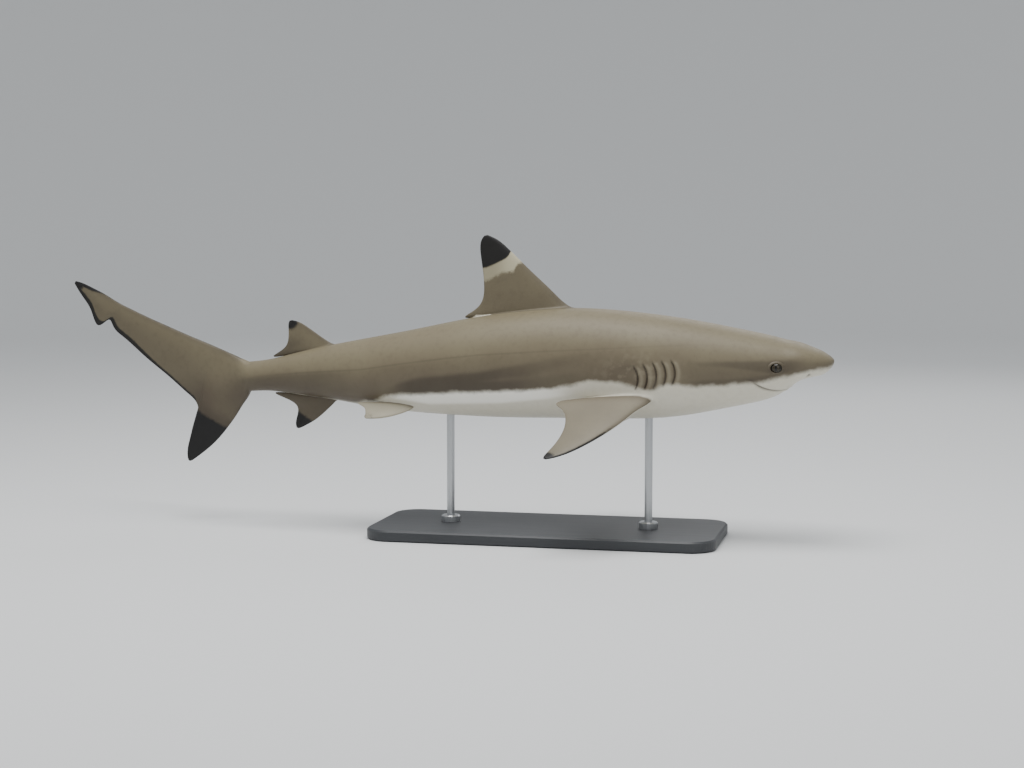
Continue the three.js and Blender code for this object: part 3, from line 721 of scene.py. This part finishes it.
# Lines across the fins.
DORSAL_BLACK = [(552, 226), (558.6, 211), (563.5, 202), (569, 197), (580.5, 192), (593.6, 186.5),
                (605, 182.5), (616, 182)]
DORSAL_PALE = [(527, 190), (537, 190.5), (548, 185.5), (554, 173.5), (578, 170), (596.5, 161.5), (614, 156)]
DORSAL_MARGIN = ((600, 96.8), (632, 96.2))  # the white edge of its free rear tip
BACK_FIN_APEX, BACK_FIN_BLACK = (978, 98), 14.0  # black within this distance of the apex
ANAL_BLACK, ANAL_BLACK_TOP = ((944.4, -85.3), (970.4, -67.3)), -62
LOWER_LOBE_BLACK = ((1112, -94), (1166, -61))
TAIL_TIP, TAIL_TIP_BLACK = (1400, 184), 17
PECTORAL_TIP, PELVIC_TIP = 16.0, 12.0  # black within this distance of the tip


def along(line, at):
    """The value at `at` of a line drawn through points."""
    line = np.array(line, float)
    return np.interp(at, line[:, 0], line[:, 1])


def above_line(p, q):
    """Signed distance of each point from the line through p and q, above zero on its left in (s, z)."""
    way = np.subtract(q, p) / np.hypot(*np.subtract(q, p))
    return way[0] * (z - p[1]) - way[1] * (s - p[0])


def between(below, above, soft):
    """1 between two heights and 0 outside them, with soft edges."""
    return smoothstep(-soft, soft, z - below) * smoothstep(-soft, soft, above - z)


def by_part(values, rest):
    """One value for each point, from those given for its part of the skin."""
    return np.select([part == one for one in values], list(values.values()), rest)


on_body = (part == BODY) * 1.0
waterline = along(WATERLINE, s)
back_line = along(STATIONS[:, :2], s)
# height is the share of the way from the waterline up to the back; the material lightens the brown by it as
# painted top light
height = np.clip((z - waterline) / (back_line - waterline), 0, 1)
lateral = np.where(part == BODY, z - along(LATERAL_LINE, s), 99)
lobe_black = -above_line(*LOWER_LOBE_BLACK)

# A marking is 0 at its edge and grows inwards, in millimetres. FAR is well away from any edge. The two
# numbers at the front of a smoothstep say where a marking starts and where it is full: s, z or a length in
# millimetres, or a share of a fin.
FAR = 30.0
FIN_BEGINS = (0.0, 0.16)  # over this share of a fin the body's marking gives way to the fin's own


def white_marking():
    """Below the waterline, under the paired fins and along the free tip of the first dorsal fin."""
    below = (waterline - z) * lerp(1, 2, smoothstep(820, 950, s))
    own = np.where(fact["under"] > 0.5, FAR, -FAR)
    paired_fin = lerp(np.clip(below, -FAR, FAR), own, smoothstep(*FIN_BEGINS, out))
    margin_s, margin_z = s - np.clip(s, *np.array(DORSAL_MARGIN)[:, 0]), z - along(DORSAL_MARGIN, s)
    return by_part({
        BODY: below,
        ANAL_FIN: lerp(below, -FAR, smoothstep(-0.02, 0.12, out)),
        PECTORAL_FIN: paired_fin,
        PELVIC_FIN: paired_fin,
        FIRST_DORSAL: np.maximum(-FAR, 9 - 4 * np.hypot(margin_s, margin_z)),
    }, -FAR)


def tail_ink():
    """Black on the lower lobe, the rear margin, the tip and the last of the upper rim."""
    before_notch = 4 * smoothstep(1215, 1300, s) * smoothstep(1345, 1325, s)
    after_notch = 6 * smoothstep(1338, 1350, s) - 2.5 * smoothstep(1362, 1390, s)
    rear_margin = np.where(out > fork_at, 4.5 + before_notch + after_notch, 0) - from_rear
    tip_black = (TAIL_TIP_BLACK - np.hypot((s - TAIL_TIP[0]) * 0.8, z - TAIL_TIP[1])) * 0.5
    upper_rim = 6 * smoothstep(1330, 1375, s) - from_front
    black = np.max([lobe_black * 0.5, rear_margin, tip_black, upper_rim], axis=0)
    return np.where(out < 12, -FAR, black)


first_dorsal_ink = z - along(DORSAL_BLACK, s)
back_fin_gap = np.hypot(s - BACK_FIN_APEX[0], z - BACK_FIN_APEX[1])
pectoral_front = np.minimum(2.5 - from_front, (out - 0.5) * 20)
ink = by_part({
    FIRST_DORSAL: first_dorsal_ink,
    BACK_FIN: (BACK_FIN_BLACK - back_fin_gap) * 0.45,
    ANAL_FIN: np.minimum(-above_line(*ANAL_BLACK), ANAL_BLACK_TOP - z) * 0.5,
    PECTORAL_FIN: np.maximum((PECTORAL_TIP - tip) * 0.5, pectoral_front),
    PELVIC_FIN: -0.8 + np.minimum(PELVIC_TIP - tip, 0) * 0.3,
    TAIL_FIN: tail_ink(),
}, -FAR)
pale = by_part({FIRST_DORSAL: np.minimum(z - along(DORSAL_PALE, s), 2 - first_dorsal_ink)}, -FAR)
flash = between(along(FLASH_BELOW, s), waterline, 4)
flash = flash * smoothstep(400, 520, s) * smoothstep(800, 760, s) * on_body

# Dusk darkens the brown: the flank, two streaks on the head and the edges of some fins, and as painted shade
# the cheek, the lower side of the tail stalk and the whole anal fin.
FLANK_SHADE, WEDGE_SHADE, CHEEK_PAINTED_SHADE, STREAK_SHADE, LOWER_STREAK_SHADE = 0.75, 0.55, 0.26, 0.4, 0.32
BLOTCH_AT, BLOTCH_HALF, BLOTCH_SHADE = (338, 3), (18, 7), 0.4  # a dark spot behind the last gill slit
BACK_FIN_SHADE, FIRST_DORSAL_SHADE, ANAL_PAINTED_SHADE, TAIL_SHADE = 0.3, 0.38, 0.6, 0.3
FRONT_RIM = 7


def body_dusk():
    """The dark flank with its lighter wedge, painted shade on the lower tail stalk and the cheek, and the
    streaks of the head.
    """
    flank = between(waterline - 3, along(FLANK_TOP, s), 5) * along(FLANK_STRENGTH, s)
    wedge = bump(z - along(WEDGE, s), along(WEDGE_HALF, s)) * smoothstep(620, 560, s)
    # painted shade: below the lateral line from mid-body back, strongest on the tail stalk, as under light
    # from above
    stalk = low_side * lerp(0.16, 0.6, smoothstep(820, 930, s)) * smoothstep(480, 620, s)
    # painted shade: the lower half of the head, from the waterline to just above the eye, as under light from
    # above
    cheek = between(waterline, 9, 5) * smoothstep(35, 70, s) * smoothstep(260, 225, s)
    streak = between(along(STREAK_BELOW, s), along(STREAK_TOP, s), 3) * along(STREAK_STRENGTH, s)
    lower_streak = between(waterline - 1, waterline + 9, 3) * along(CHEEK_STRENGTH, s)
    from_blotch = (np.stack([s, z], -1) - BLOTCH_AT) / BLOTCH_HALF
    shade = FLANK_SHADE * flank * (1 - WEDGE_SHADE * wedge) + stalk + CHEEK_PAINTED_SHADE * cheek
    shade = shade + STREAK_SHADE * streak + LOWER_STREAK_SHADE * lower_streak
    return shade + BLOTCH_SHADE * bump(np.hypot(*from_blotch.T), 1)


# below the lateral line; it darkens the lower side as painted shade
low_side = smoothstep(7, -7, z - along(LATERAL_LINE, s))
front_rim = bump(from_front, FRONT_RIM)
low_rear = smoothstep(0.2, 0.75, chord) * smoothstep(76, 54, z)
tail_dusk = TAIL_SHADE + 0.25 * smoothstep(0.1, 0.7, chord) + 0.4 * front_rim
tail_dusk = tail_dusk + 0.4 * smoothstep(-30, 0, lobe_black)
dusk = by_part({
    BODY: body_dusk(),
    FIRST_DORSAL: FIRST_DORSAL_SHADE + 0.25 * front_rim + 0.12 * smoothstep(150, 112, z),
    BACK_FIN: BACK_FIN_SHADE + 0.4 * front_rim + 0.55 * low_rear + 0.2 * smoothstep(980, 1008, s),
    # the whole anal fin darkened: painted shade under the body
    ANAL_FIN: ANAL_PAINTED_SHADE,
    PECTORAL_FIN: 0.55 * front_rim + 0.5 * bump(tip, 38),
    # near its root the tail fin carries on the painted shade of the stalk's lower side
    TAIL_FIN: lerp(0.6 * low_side, tail_dusk, smoothstep(0, 60, out)),
}, 0)

# What the skin's material reads at each point. A share says how strongly its coat covers at most.
DUSK_SHARE, SIDE_LINE_SHARE, MOTTLE_SHARE, PALE_SHARE = 0.72, 0.2, 0.22, 0.9
SHINE_SHARE, PAINTED_HOLLOW_SHADOW_SHARE, PORE_SHADE = 0.3, 0.8, 0.3
RAY_RELIEF, RAY_STRETCH = 1.5, 0.02
skin_fields = dict(
    white=white_marking(),
    flash=flash,
    ink=ink,
    pale=pale,
    pale_share=PALE_SHARE * lerp(1, 0.55, smoothstep(555, 595, s)),
    dusk=DUSK_SHARE * np.clip(dusk, 0, 1),
    height=height,
    lateral=lateral,
    side_line=SIDE_LINE_SHARE * along(LATERAL_STRENGTH, s) * on_body,
    mottle=MOTTLE_SHARE * bump(s - 330, 60) * bump(z + 8, 34) * on_body,
    lit_fin=by_part({PECTORAL_FIN: 0.22, PELVIC_FIN: 0.6}, 0) * smoothstep(0, 0.2, out),
    shine=SHINE_SHARE * fact["shine"],
    hollow=PAINTED_HOLLOW_SHADOW_SHARE * fact["hollow"],
    pores=PORE_SHADE * smoothstep(105, 60, s) * on_body,
    chord=chord,
    along_rays=RAY_STRETCH * out,
    ray_relief=RAY_RELIEF * (1 - on_body),
)


def mesh_object(name, points, quads, triangles, fields=None):
    """A smooth-shaded mesh from points in metres and faces turned outwards, with values at its points."""
    mesh = bpy.data.meshes.new(name)
    corners = np.concatenate([quads.reshape(-1), triangles.reshape(-1)])
    sizes = np.repeat([4, 3], [quads.size // 4, triangles.size // 3])
    mesh.vertices.add(len(points))
    mesh.vertices.foreach_set("co", points.astype(np.float32).reshape(-1))
    mesh.loops.add(len(corners))
    mesh.loops.foreach_set("vertex_index", corners.astype(np.int32))
    mesh.polygons.add(len(sizes))
    mesh.polygons.foreach_set("loop_start", (np.cumsum(sizes) - sizes).astype(np.int32))
    mesh.update(calc_edges=True)
    mesh.validate()
    mesh.shade_smooth()
    for field_name, values in (fields or {}).items():
        field = mesh.attributes.new(field_name, "FLOAT", "POINT")
        field.data.foreach_set("value", values.astype(np.float32))
    made = bpy.data.objects.new(name, mesh)
    bpy.context.scene.collection.objects.link(made)
    return made


skin = mesh_object("shark_skin", place(points), np.concatenate(quads), np.concatenate(triangles), skin_fields)
FLESH = ["head", "jaw", "gill_region", "trunk_front", "trunk_rear", "tail_stalk", "dorsal_fin_first",
         "dorsal_fin_second", "anal_fin", "tail_lobe_upper", "tail_lobe_lower", "pectoral_fin_left",
         "pectoral_fin_right", "pelvic_fin_left", "pelvic_fin_right"]
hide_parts(*FLESH)
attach(skin, "root")

EYE_TURNS, EYE_RINGS = 64, 33
for name, side in (("left", 1), ("right", -1)):
    around, up = np.meshgrid(2 * math.pi * np.arange(EYE_TURNS) / EYE_TURNS,
                             math.pi * np.arange(1, EYE_RINGS) / EYE_RINGS)
    unit = np.stack([np.sin(up) * np.cos(around), side * np.cos(up), np.sin(up) * np.sin(around)], -1)
    unit = np.concatenate([unit.reshape(-1, 3), [[0, side, 0], [0, -side, 0]]])
    front, back = len(unit) - 2, len(unit) - 1
    rings = np.arange((EYE_RINGS - 1) * EYE_TURNS).reshape(EYE_RINGS - 1, EYE_TURNS)
    if side < 0:
        rings = rings[:, ::-1]
    caps = np.concatenate([fan(rings[0][::-1], front), fan(rings[-1], back)])
    ball = unit * EYE_BALL
    eyeball = mesh_object(f"eyeball_{name}", place(eye_centre(side) + ball),
                          quads_between(rings[:-1], rings[1:]), caps, dict(across=ball[:, 0], up=ball[:, 2]))
    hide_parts(f"eye_{name}")
    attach(eyeball, "root")

# ---- Materials ----------------------------------------------------------------------------------------
MM = 0.001
FACTOR, MIX_A, MIX_B, MIX_OUT = 0, 6, 7, 2  # sockets of a colour mix


def linear(code):
    """A colour written as sRGB hex, as linear values with full opacity."""
    parts = [int(code[i:i + 2], 16) / 255 for i in (1, 3, 5)]
    return [p / 12.92 if p <= 0.04045 else ((p + 0.055) / 1.055) ** 2.4 for p in parts] + [1.0]


def connect(tree, node, inputs):
    """Sets inputs of a node, each to a value or to the output of another node."""
    for key, value in inputs.items():
        if isinstance(value, bpy.types.NodeSocket):
            tree.links.new(value, node.inputs[key])
        else:
            node.inputs[key].default_value = value


def add(tree, kind, output, inputs=None, **settings):
    """Adds a node with these settings and inputs, and returns one of its outputs."""
    made = tree.nodes.new(kind)
    for key, value in settings.items():
        setattr(made, key, value)
    connect(tree, made, inputs or {})
    return made.outputs[output]


def new_material(name):
    """A new material, with its node tree and the surface node in it."""
    made = bpy.data.materials.new(name)
    made.use_nodes = True
    tree = made.node_tree
    return made, tree, tree.nodes["Principled BSDF"]


# Cloudy patterns in the skin: size in millimetres and amount of finer detail.
SKIN_PATTERNS = dict(broad=(85, 2.0), blotch=(26, 3.0), cloud=(12, 5.0), patch=(9, 4.0), grain=(2.2, 2.0))
PORE_SPACING = 4.5
DENTICLE_WIDTH = 0.8  # real denticles are some 0.3 mm wide, too fine to show at this scale
RAY_BANDS = 1000 / 11  # fine bands across the chord of a fin, which run from its root to its tip
# How far the patterns push the edge of a marking to and fro, in millimetres, and the soft edge's two sides.
WAVY_EDGES = dict(
    white=((("blotch", 11.0), ("patch", 5.0), ("grain", 1.5)), -5.5, 5.5),
    pale=((("patch", 9.0), ("grain", 6.0)), -3.0, 5.0),
    ink=((("patch", 2.5), ("grain", 2.0)), -1.8, 1.8),
)
INK_SHARE = 0.97
GRAIN_RELIEF, PORE_RELIEF = 0.8, -2.0  # beside the denticles, which have a relief of 1


def shark_skin_material():
    """Shark skin: grey-brown above and lighter towards the back as painted top light, off-white below, black
    fin tips, painted shade and shadow in places, and a sheen broken by denticles.
    """
    made, tree, surface = new_material("shark skin")
    where = add(tree, "ShaderNodeTexCoord", "Object")
    field = {name: add(tree, "ShaderNodeAttribute", "Fac", attribute_name=name) for name in skin_fields}
    pattern = {}
    for name, (size, detail) in SKIN_PATTERNS.items():
        inputs = {"Vector": where, "Scale": 1 / (size * MM), "Detail": detail}
        pattern[name] = add(tree, "ShaderNodeTexNoise", "Fac", inputs)
    for name, size in (("pores", PORE_SPACING), ("denticles", DENTICLE_WIDTH)):
        inputs = {"Vector": where, "Scale": 1 / (size * MM)}
        pattern[name] = add(tree, "ShaderNodeTexVoronoi", "Distance", inputs)
    ray_point = add(tree, "ShaderNodeCombineXYZ", 0, {"X": field["chord"], "Y": field["along_rays"]})
    inputs = {"Vector": ray_point, "Scale": RAY_BANDS, "Detail": 2.0}
    pattern["rays"] = add(tree, "ShaderNodeTexNoise", "Fac", inputs)

    # Each share goes from 0 to its last value while the field or pattern goes from one value to the next.
    lateral = add(tree, "ShaderNodeMath", 0, {0: field["lateral"]}, operation="ABSOLUTE")
    rises = dict(
        # lift: the brown lighter towards the back, painted top light
        lift=(field["height"], 0.0, 0.85, 1.0),
        light_cloud=(pattern["broad"], 0.35, 0.7, 0.3),
        dark_patch=(pattern["patch"], 0.45, 0.75, 0.2),
        lateral_line=(lateral, 2.4, 0.6, field["side_line"]),
        mottle=(pattern["cloud"], 0.46, 0.66, field["mottle"]),
        belly_patch=(pattern["patch"], 0.4, 0.8, 0.25),
        pore=(pattern["pores"], 0.17, 0.08, field["pores"]),
    )
    for name, most in (("white", 1.0), ("pale", field["pale_share"]), ("ink", INK_SHARE)):
        weights, low, high = WAVY_EDGES[name]
        edge = field[name]
        for wave, weight in weights:
            inputs = {0: pattern[wave], 1: weight, 2: edge}
            edge = add(tree, "ShaderNodeMath", 0, inputs, operation="MULTIPLY_ADD")
        middle = sum(weight for wave, weight in weights) / 2
        rises[name] = (edge, middle + low, middle + high, most)
    share = {}
    for name, (value, low, high, most) in rises.items():
        inputs = {"Value": value, "From Min": low, "From Max": high, "To Max": most}
        share[name] = add(tree, "ShaderNodeMapRange", "Result", inputs, interpolation_type="SMOOTHSTEP")

    # The off-white of the belly, brightest in the flash along the flank.
    belly = linear("#d0cbbb")
    for cover, coat in ((share["belly_patch"], "#beb7a3"), (field["flash"], "#efece2")):
        inputs = {FACTOR: cover, MIX_A: belly, MIX_B: linear(coat)}
        belly = add(tree, "ShaderNodeMix", MIX_OUT, inputs, data_type="RGBA")
    # The brown of the back and all that lies over it, each coat over the ones before.
    colour = linear("#5d5344")
    for cover, coat in (
        # painted top light: a lighter brown towards the back
        (share["lift"], linear("#736a54")),
        (share["light_cloud"], linear("#7e765e")),
        (share["dark_patch"], linear("#574e3e")),
        # dusk: the dark flank, streaks and fin edges, and painted shade on the cheek, the lower side and the
        # anal fin
        (field["dusk"], linear("#352d25")),
        (share["lateral_line"], linear("#3a3228")),
        (share["mottle"], linear("#9d957e")),
        (field["lit_fin"], linear("#b3ad98")),
        (field["shine"], linear("#a59d86")),
        (share["white"], belly),
        (share["pale"], linear("#b7b095")),
        (share["ink"], linear("#0d0c0d")),
        (share["pore"], linear("#3a3128")),
        # painted shadow in the recesses of the head
        (field["hollow"], linear("#2b211c")),
    ):
        inputs = {FACTOR: cover, MIX_A: colour, MIX_B: coat}
        colour = add(tree, "ShaderNodeMix", MIX_OUT, inputs, data_type="RGBA")

    relief = pattern["denticles"]
    for raised, weight in (
        (pattern["rays"], field["ray_relief"]),
        (pattern["grain"], GRAIN_RELIEF),
        (share["pore"], PORE_RELIEF / PORE_SHADE),
    ):
        inputs = {0: raised, 1: weight, 2: relief}
        relief = add(tree, "ShaderNodeMath", 0, inputs, operation="MULTIPLY_ADD")
    bumps = add(tree, "ShaderNodeBump", "Normal", {"Strength": 0.35, "Distance": 0.25 * MM, "Height": relief})
    sheen = {"Value": pattern["patch"], "To Min": 0.42, "To Max": 0.55}
    rough = add(tree, "ShaderNodeMapRange", "Result", sheen)
    connect(tree, surface, {"Base Color": colour, "Roughness": rough, "Normal": bumps, "IOR": 1.4})
    return made


IRIS_RIM = (5.0, 8.5)  # the iris darkens between these distances from its middle
PUPIL_EDGE = (1.7, 1.45)
PUPIL_SQUASH = (1.0, 0.3, 1.0)  # makes the round pupil an upright slit


def eye_material():
    """A shark's eye: dark olive iris, blacker at its rim, with an upright slit pupil under a wet cornea."""
    made, tree, surface = new_material("shark eye")
    across, up = [add(tree, "ShaderNodeAttribute", "Fac", attribute_name=name) for name in ("across", "up")]
    point = add(tree, "ShaderNodeCombineXYZ", 0, {"X": across, "Y": up})
    from_middle = add(tree, "ShaderNodeVectorMath", "Value", {0: point}, operation="LENGTH")
    squashed = add(tree, "ShaderNodeVectorMath", 0, {0: point, 1: PUPIL_SQUASH}, operation="MULTIPLY")
    from_slit = add(tree, "ShaderNodeVectorMath", "Value", {0: squashed}, operation="LENGTH")
    cover = [add(tree, "ShaderNodeTexNoise", "Fac", {"Vector": point, "Scale": 1.6, "Detail": 4.0})]
    for distance, (low, high) in ((from_middle, IRIS_RIM), (from_slit, PUPIL_EDGE)):
        inputs = {"Value": distance, "From Min": low, "From Max": high}
        cover.append(add(tree, "ShaderNodeMapRange", "Result", inputs))
    colour = linear("#3a3220")
    for share, coat in zip(cover, ("#1e190f", "#14110c", "#050505")):
        inputs = {FACTOR: share, MIX_A: colour, MIX_B: linear(coat)}
        colour = add(tree, "ShaderNodeMix", MIX_OUT, inputs, data_type="RGBA")
    connect(tree, surface, {"Base Color": colour, "Roughness": 0.12, "IOR": 1.38, "Specular IOR Level": 0.2})
    connect(tree, surface, {"Coat Weight": 1.0, "Coat IOR": 1.36, "Coat Roughness": 0.03})
    return made


def lacquered_wood_material():
    """Close-grained wood under a matte charcoal lacquer."""
    made, tree, surface = new_material("charcoal lacquered wood")
    where = add(tree, "ShaderNodeTexCoord", "Object")
    stretched = add(tree, "ShaderNodeMapping", 0, {"Vector": where, "Scale": (8.0, 160.0, 160.0)})
    grain = add(tree, "ShaderNodeTexNoise", "Fac", {"Vector": stretched, "Scale": 1.0, "Detail": 5.0})
    lacquer = {FACTOR: grain, MIX_A: linear("#2b2d30"), MIX_B: linear("#3a3c3f")}
    colour = add(tree, "ShaderNodeMix", MIX_OUT, lacquer, data_type="RGBA")
    rough = add(tree, "ShaderNodeMapRange", "Result", {"Value": grain, "To Min": 0.42, "To Max": 0.55})
    bumps = add(tree, "ShaderNodeBump", "Normal", {"Strength": 0.2, "Distance": 0.1 * MM, "Height": grain})
    connect(tree, surface, {"Base Color": colour, "Roughness": rough, "Normal": bumps, "IOR": 1.5})
    return made


def brushed_steel_material():
    """Stainless steel brushed round the rod."""
    made, tree, surface = new_material("brushed stainless steel")
    where = add(tree, "ShaderNodeTexCoord", "Object")
    stretched = add(tree, "ShaderNodeMapping", 0, {"Vector": where, "Scale": (60.0, 60.0, 2500.0)})
    lines = add(tree, "ShaderNodeTexNoise", "Fac", {"Vector": stretched, "Scale": 1.0, "Detail": 3.0})
    rough = add(tree, "ShaderNodeMapRange", "Result", {"Value": lines, "To Min": 0.24, "To Max": 0.38})
    bumps = add(tree, "ShaderNodeBump", "Normal", {"Strength": 0.15, "Distance": 0.02 * MM, "Height": lines})
    connect(tree, surface, {"Base Color": linear("#b8babc"), "Metallic": 1.0})
    connect(tree, surface, {"Roughness": rough, "Normal": bumps})
    return made


def dress(thing, material):
    """Gives a mesh one material."""
    thing.data.materials.clear()
    thing.data.materials.append(material)


dress(skin, shark_skin_material())
eye_look, steel = eye_material(), brushed_steel_material()
for name in ("left", "right"):
    dress(bpy.data.objects[f"eyeball_{name}"], eye_look)
nodes["stand_base"].material_slots[0].material = lacquered_wood_material()
for name in ("stand_rod_front", "stand_rod_rear", "stand_collar_front", "stand_collar_rear"):
    nodes[name].material_slots[0].material = steel

# ---- Floor, light and camera --------------------------------------------------------------------------
# In metres and watts.
FLOOR_RADIUS, SWEEP_RADIUS, SWEEP_TURNS, SWEEP_RINGS = 6.0, 3.0, 96, 24
bend = np.linspace(0, math.pi / 2, SWEEP_RINGS)[1:]
radius = np.concatenate([[1.0, FLOOR_RADIUS], FLOOR_RADIUS + SWEEP_RADIUS * np.sin(bend)])[:, None]
level = np.concatenate([[0.0, 0.0], SWEEP_RADIUS * (1 - np.cos(bend))])[:, None]
around = 2 * math.pi * np.arange(SWEEP_TURNS) / SWEEP_TURNS
sweep = np.stack([radius * np.cos(around), radius * np.sin(around), level + 0 * around], -1)
index = np.arange(len(radius) * SWEEP_TURNS).reshape(len(radius), SWEEP_TURNS)
floor = mesh_object("floor", np.concatenate([sweep.reshape(-1, 3), [[0, 0, 0]]]),
                    quads_between(index[1:], index[:-1]), fan(index[0], index.size))
floor_look, tree, surface = new_material("matte pale paint")
connect(tree, surface, {"Base Color": linear("#dcdddd"), "Roughness": 0.9})
dress(floor, floor_look)


def aim_at(thing, target):
    """Turns a lamp or a camera towards a point."""
    thing.rotation_euler = (Vector(target) - thing.location).to_track_quat("-Z", "Y").to_euler()


LAMPS_AIM = (0, 0, 0.3)
# Each soft light: where it is, its width and its power.
for name, at, size, watts in (
    ("overhead_light", (-0.1, -0.6, 2.9), 1.8, 85),
    ("front_light", (1.6, -2.9, 1.7), 1.6, 10),
    ("side_light", (-2.6, -2.0, 1.6), 1.6, 5),
    ("back_light", (0.5, 3.0, 2.2), 1.8, 16),
):
    lamp = bpy.data.lights.new(name, "AREA")
    lamp.size = size
    lamp.energy = watts
    made = bpy.data.objects.new(name, lamp)
    bpy.context.scene.collection.objects.link(made)
    made.location = at
    aim_at(made, LAMPS_AIM)

world = bpy.data.worlds.new("studio")
world.use_nodes = True
connect(world.node_tree, world.node_tree.nodes["Background"], {"Color": linear("#eef1f4"), "Strength": 0.72})
bpy.context.scene.world = world

CAMERA_AZIMUTH, CAMERA_ELEVATION = math.radians(13), math.radians(5)
CAMERA_DISTANCE = 3.4
CAMERA_TARGET = (-0.0681, 0.0055, 0.2702)
SENSOR_WIDTH, LENS = 36.0, 67.0
camera = bpy.data.objects.new("camera", bpy.data.cameras.new("camera"))
bpy.context.scene.collection.objects.link(camera)
level_share = math.cos(CAMERA_ELEVATION)
towards_camera = Vector((math.sin(CAMERA_AZIMUTH) * level_share, -math.cos(CAMERA_AZIMUTH) * level_share,
                         math.sin(CAMERA_ELEVATION)))
camera.location = Vector(CAMERA_TARGET) + CAMERA_DISTANCE * towards_camera
aim_at(camera, CAMERA_TARGET)
camera.data.sensor_width = SENSOR_WIDTH
camera.data.lens = LENS
bpy.context.scene.camera = camera
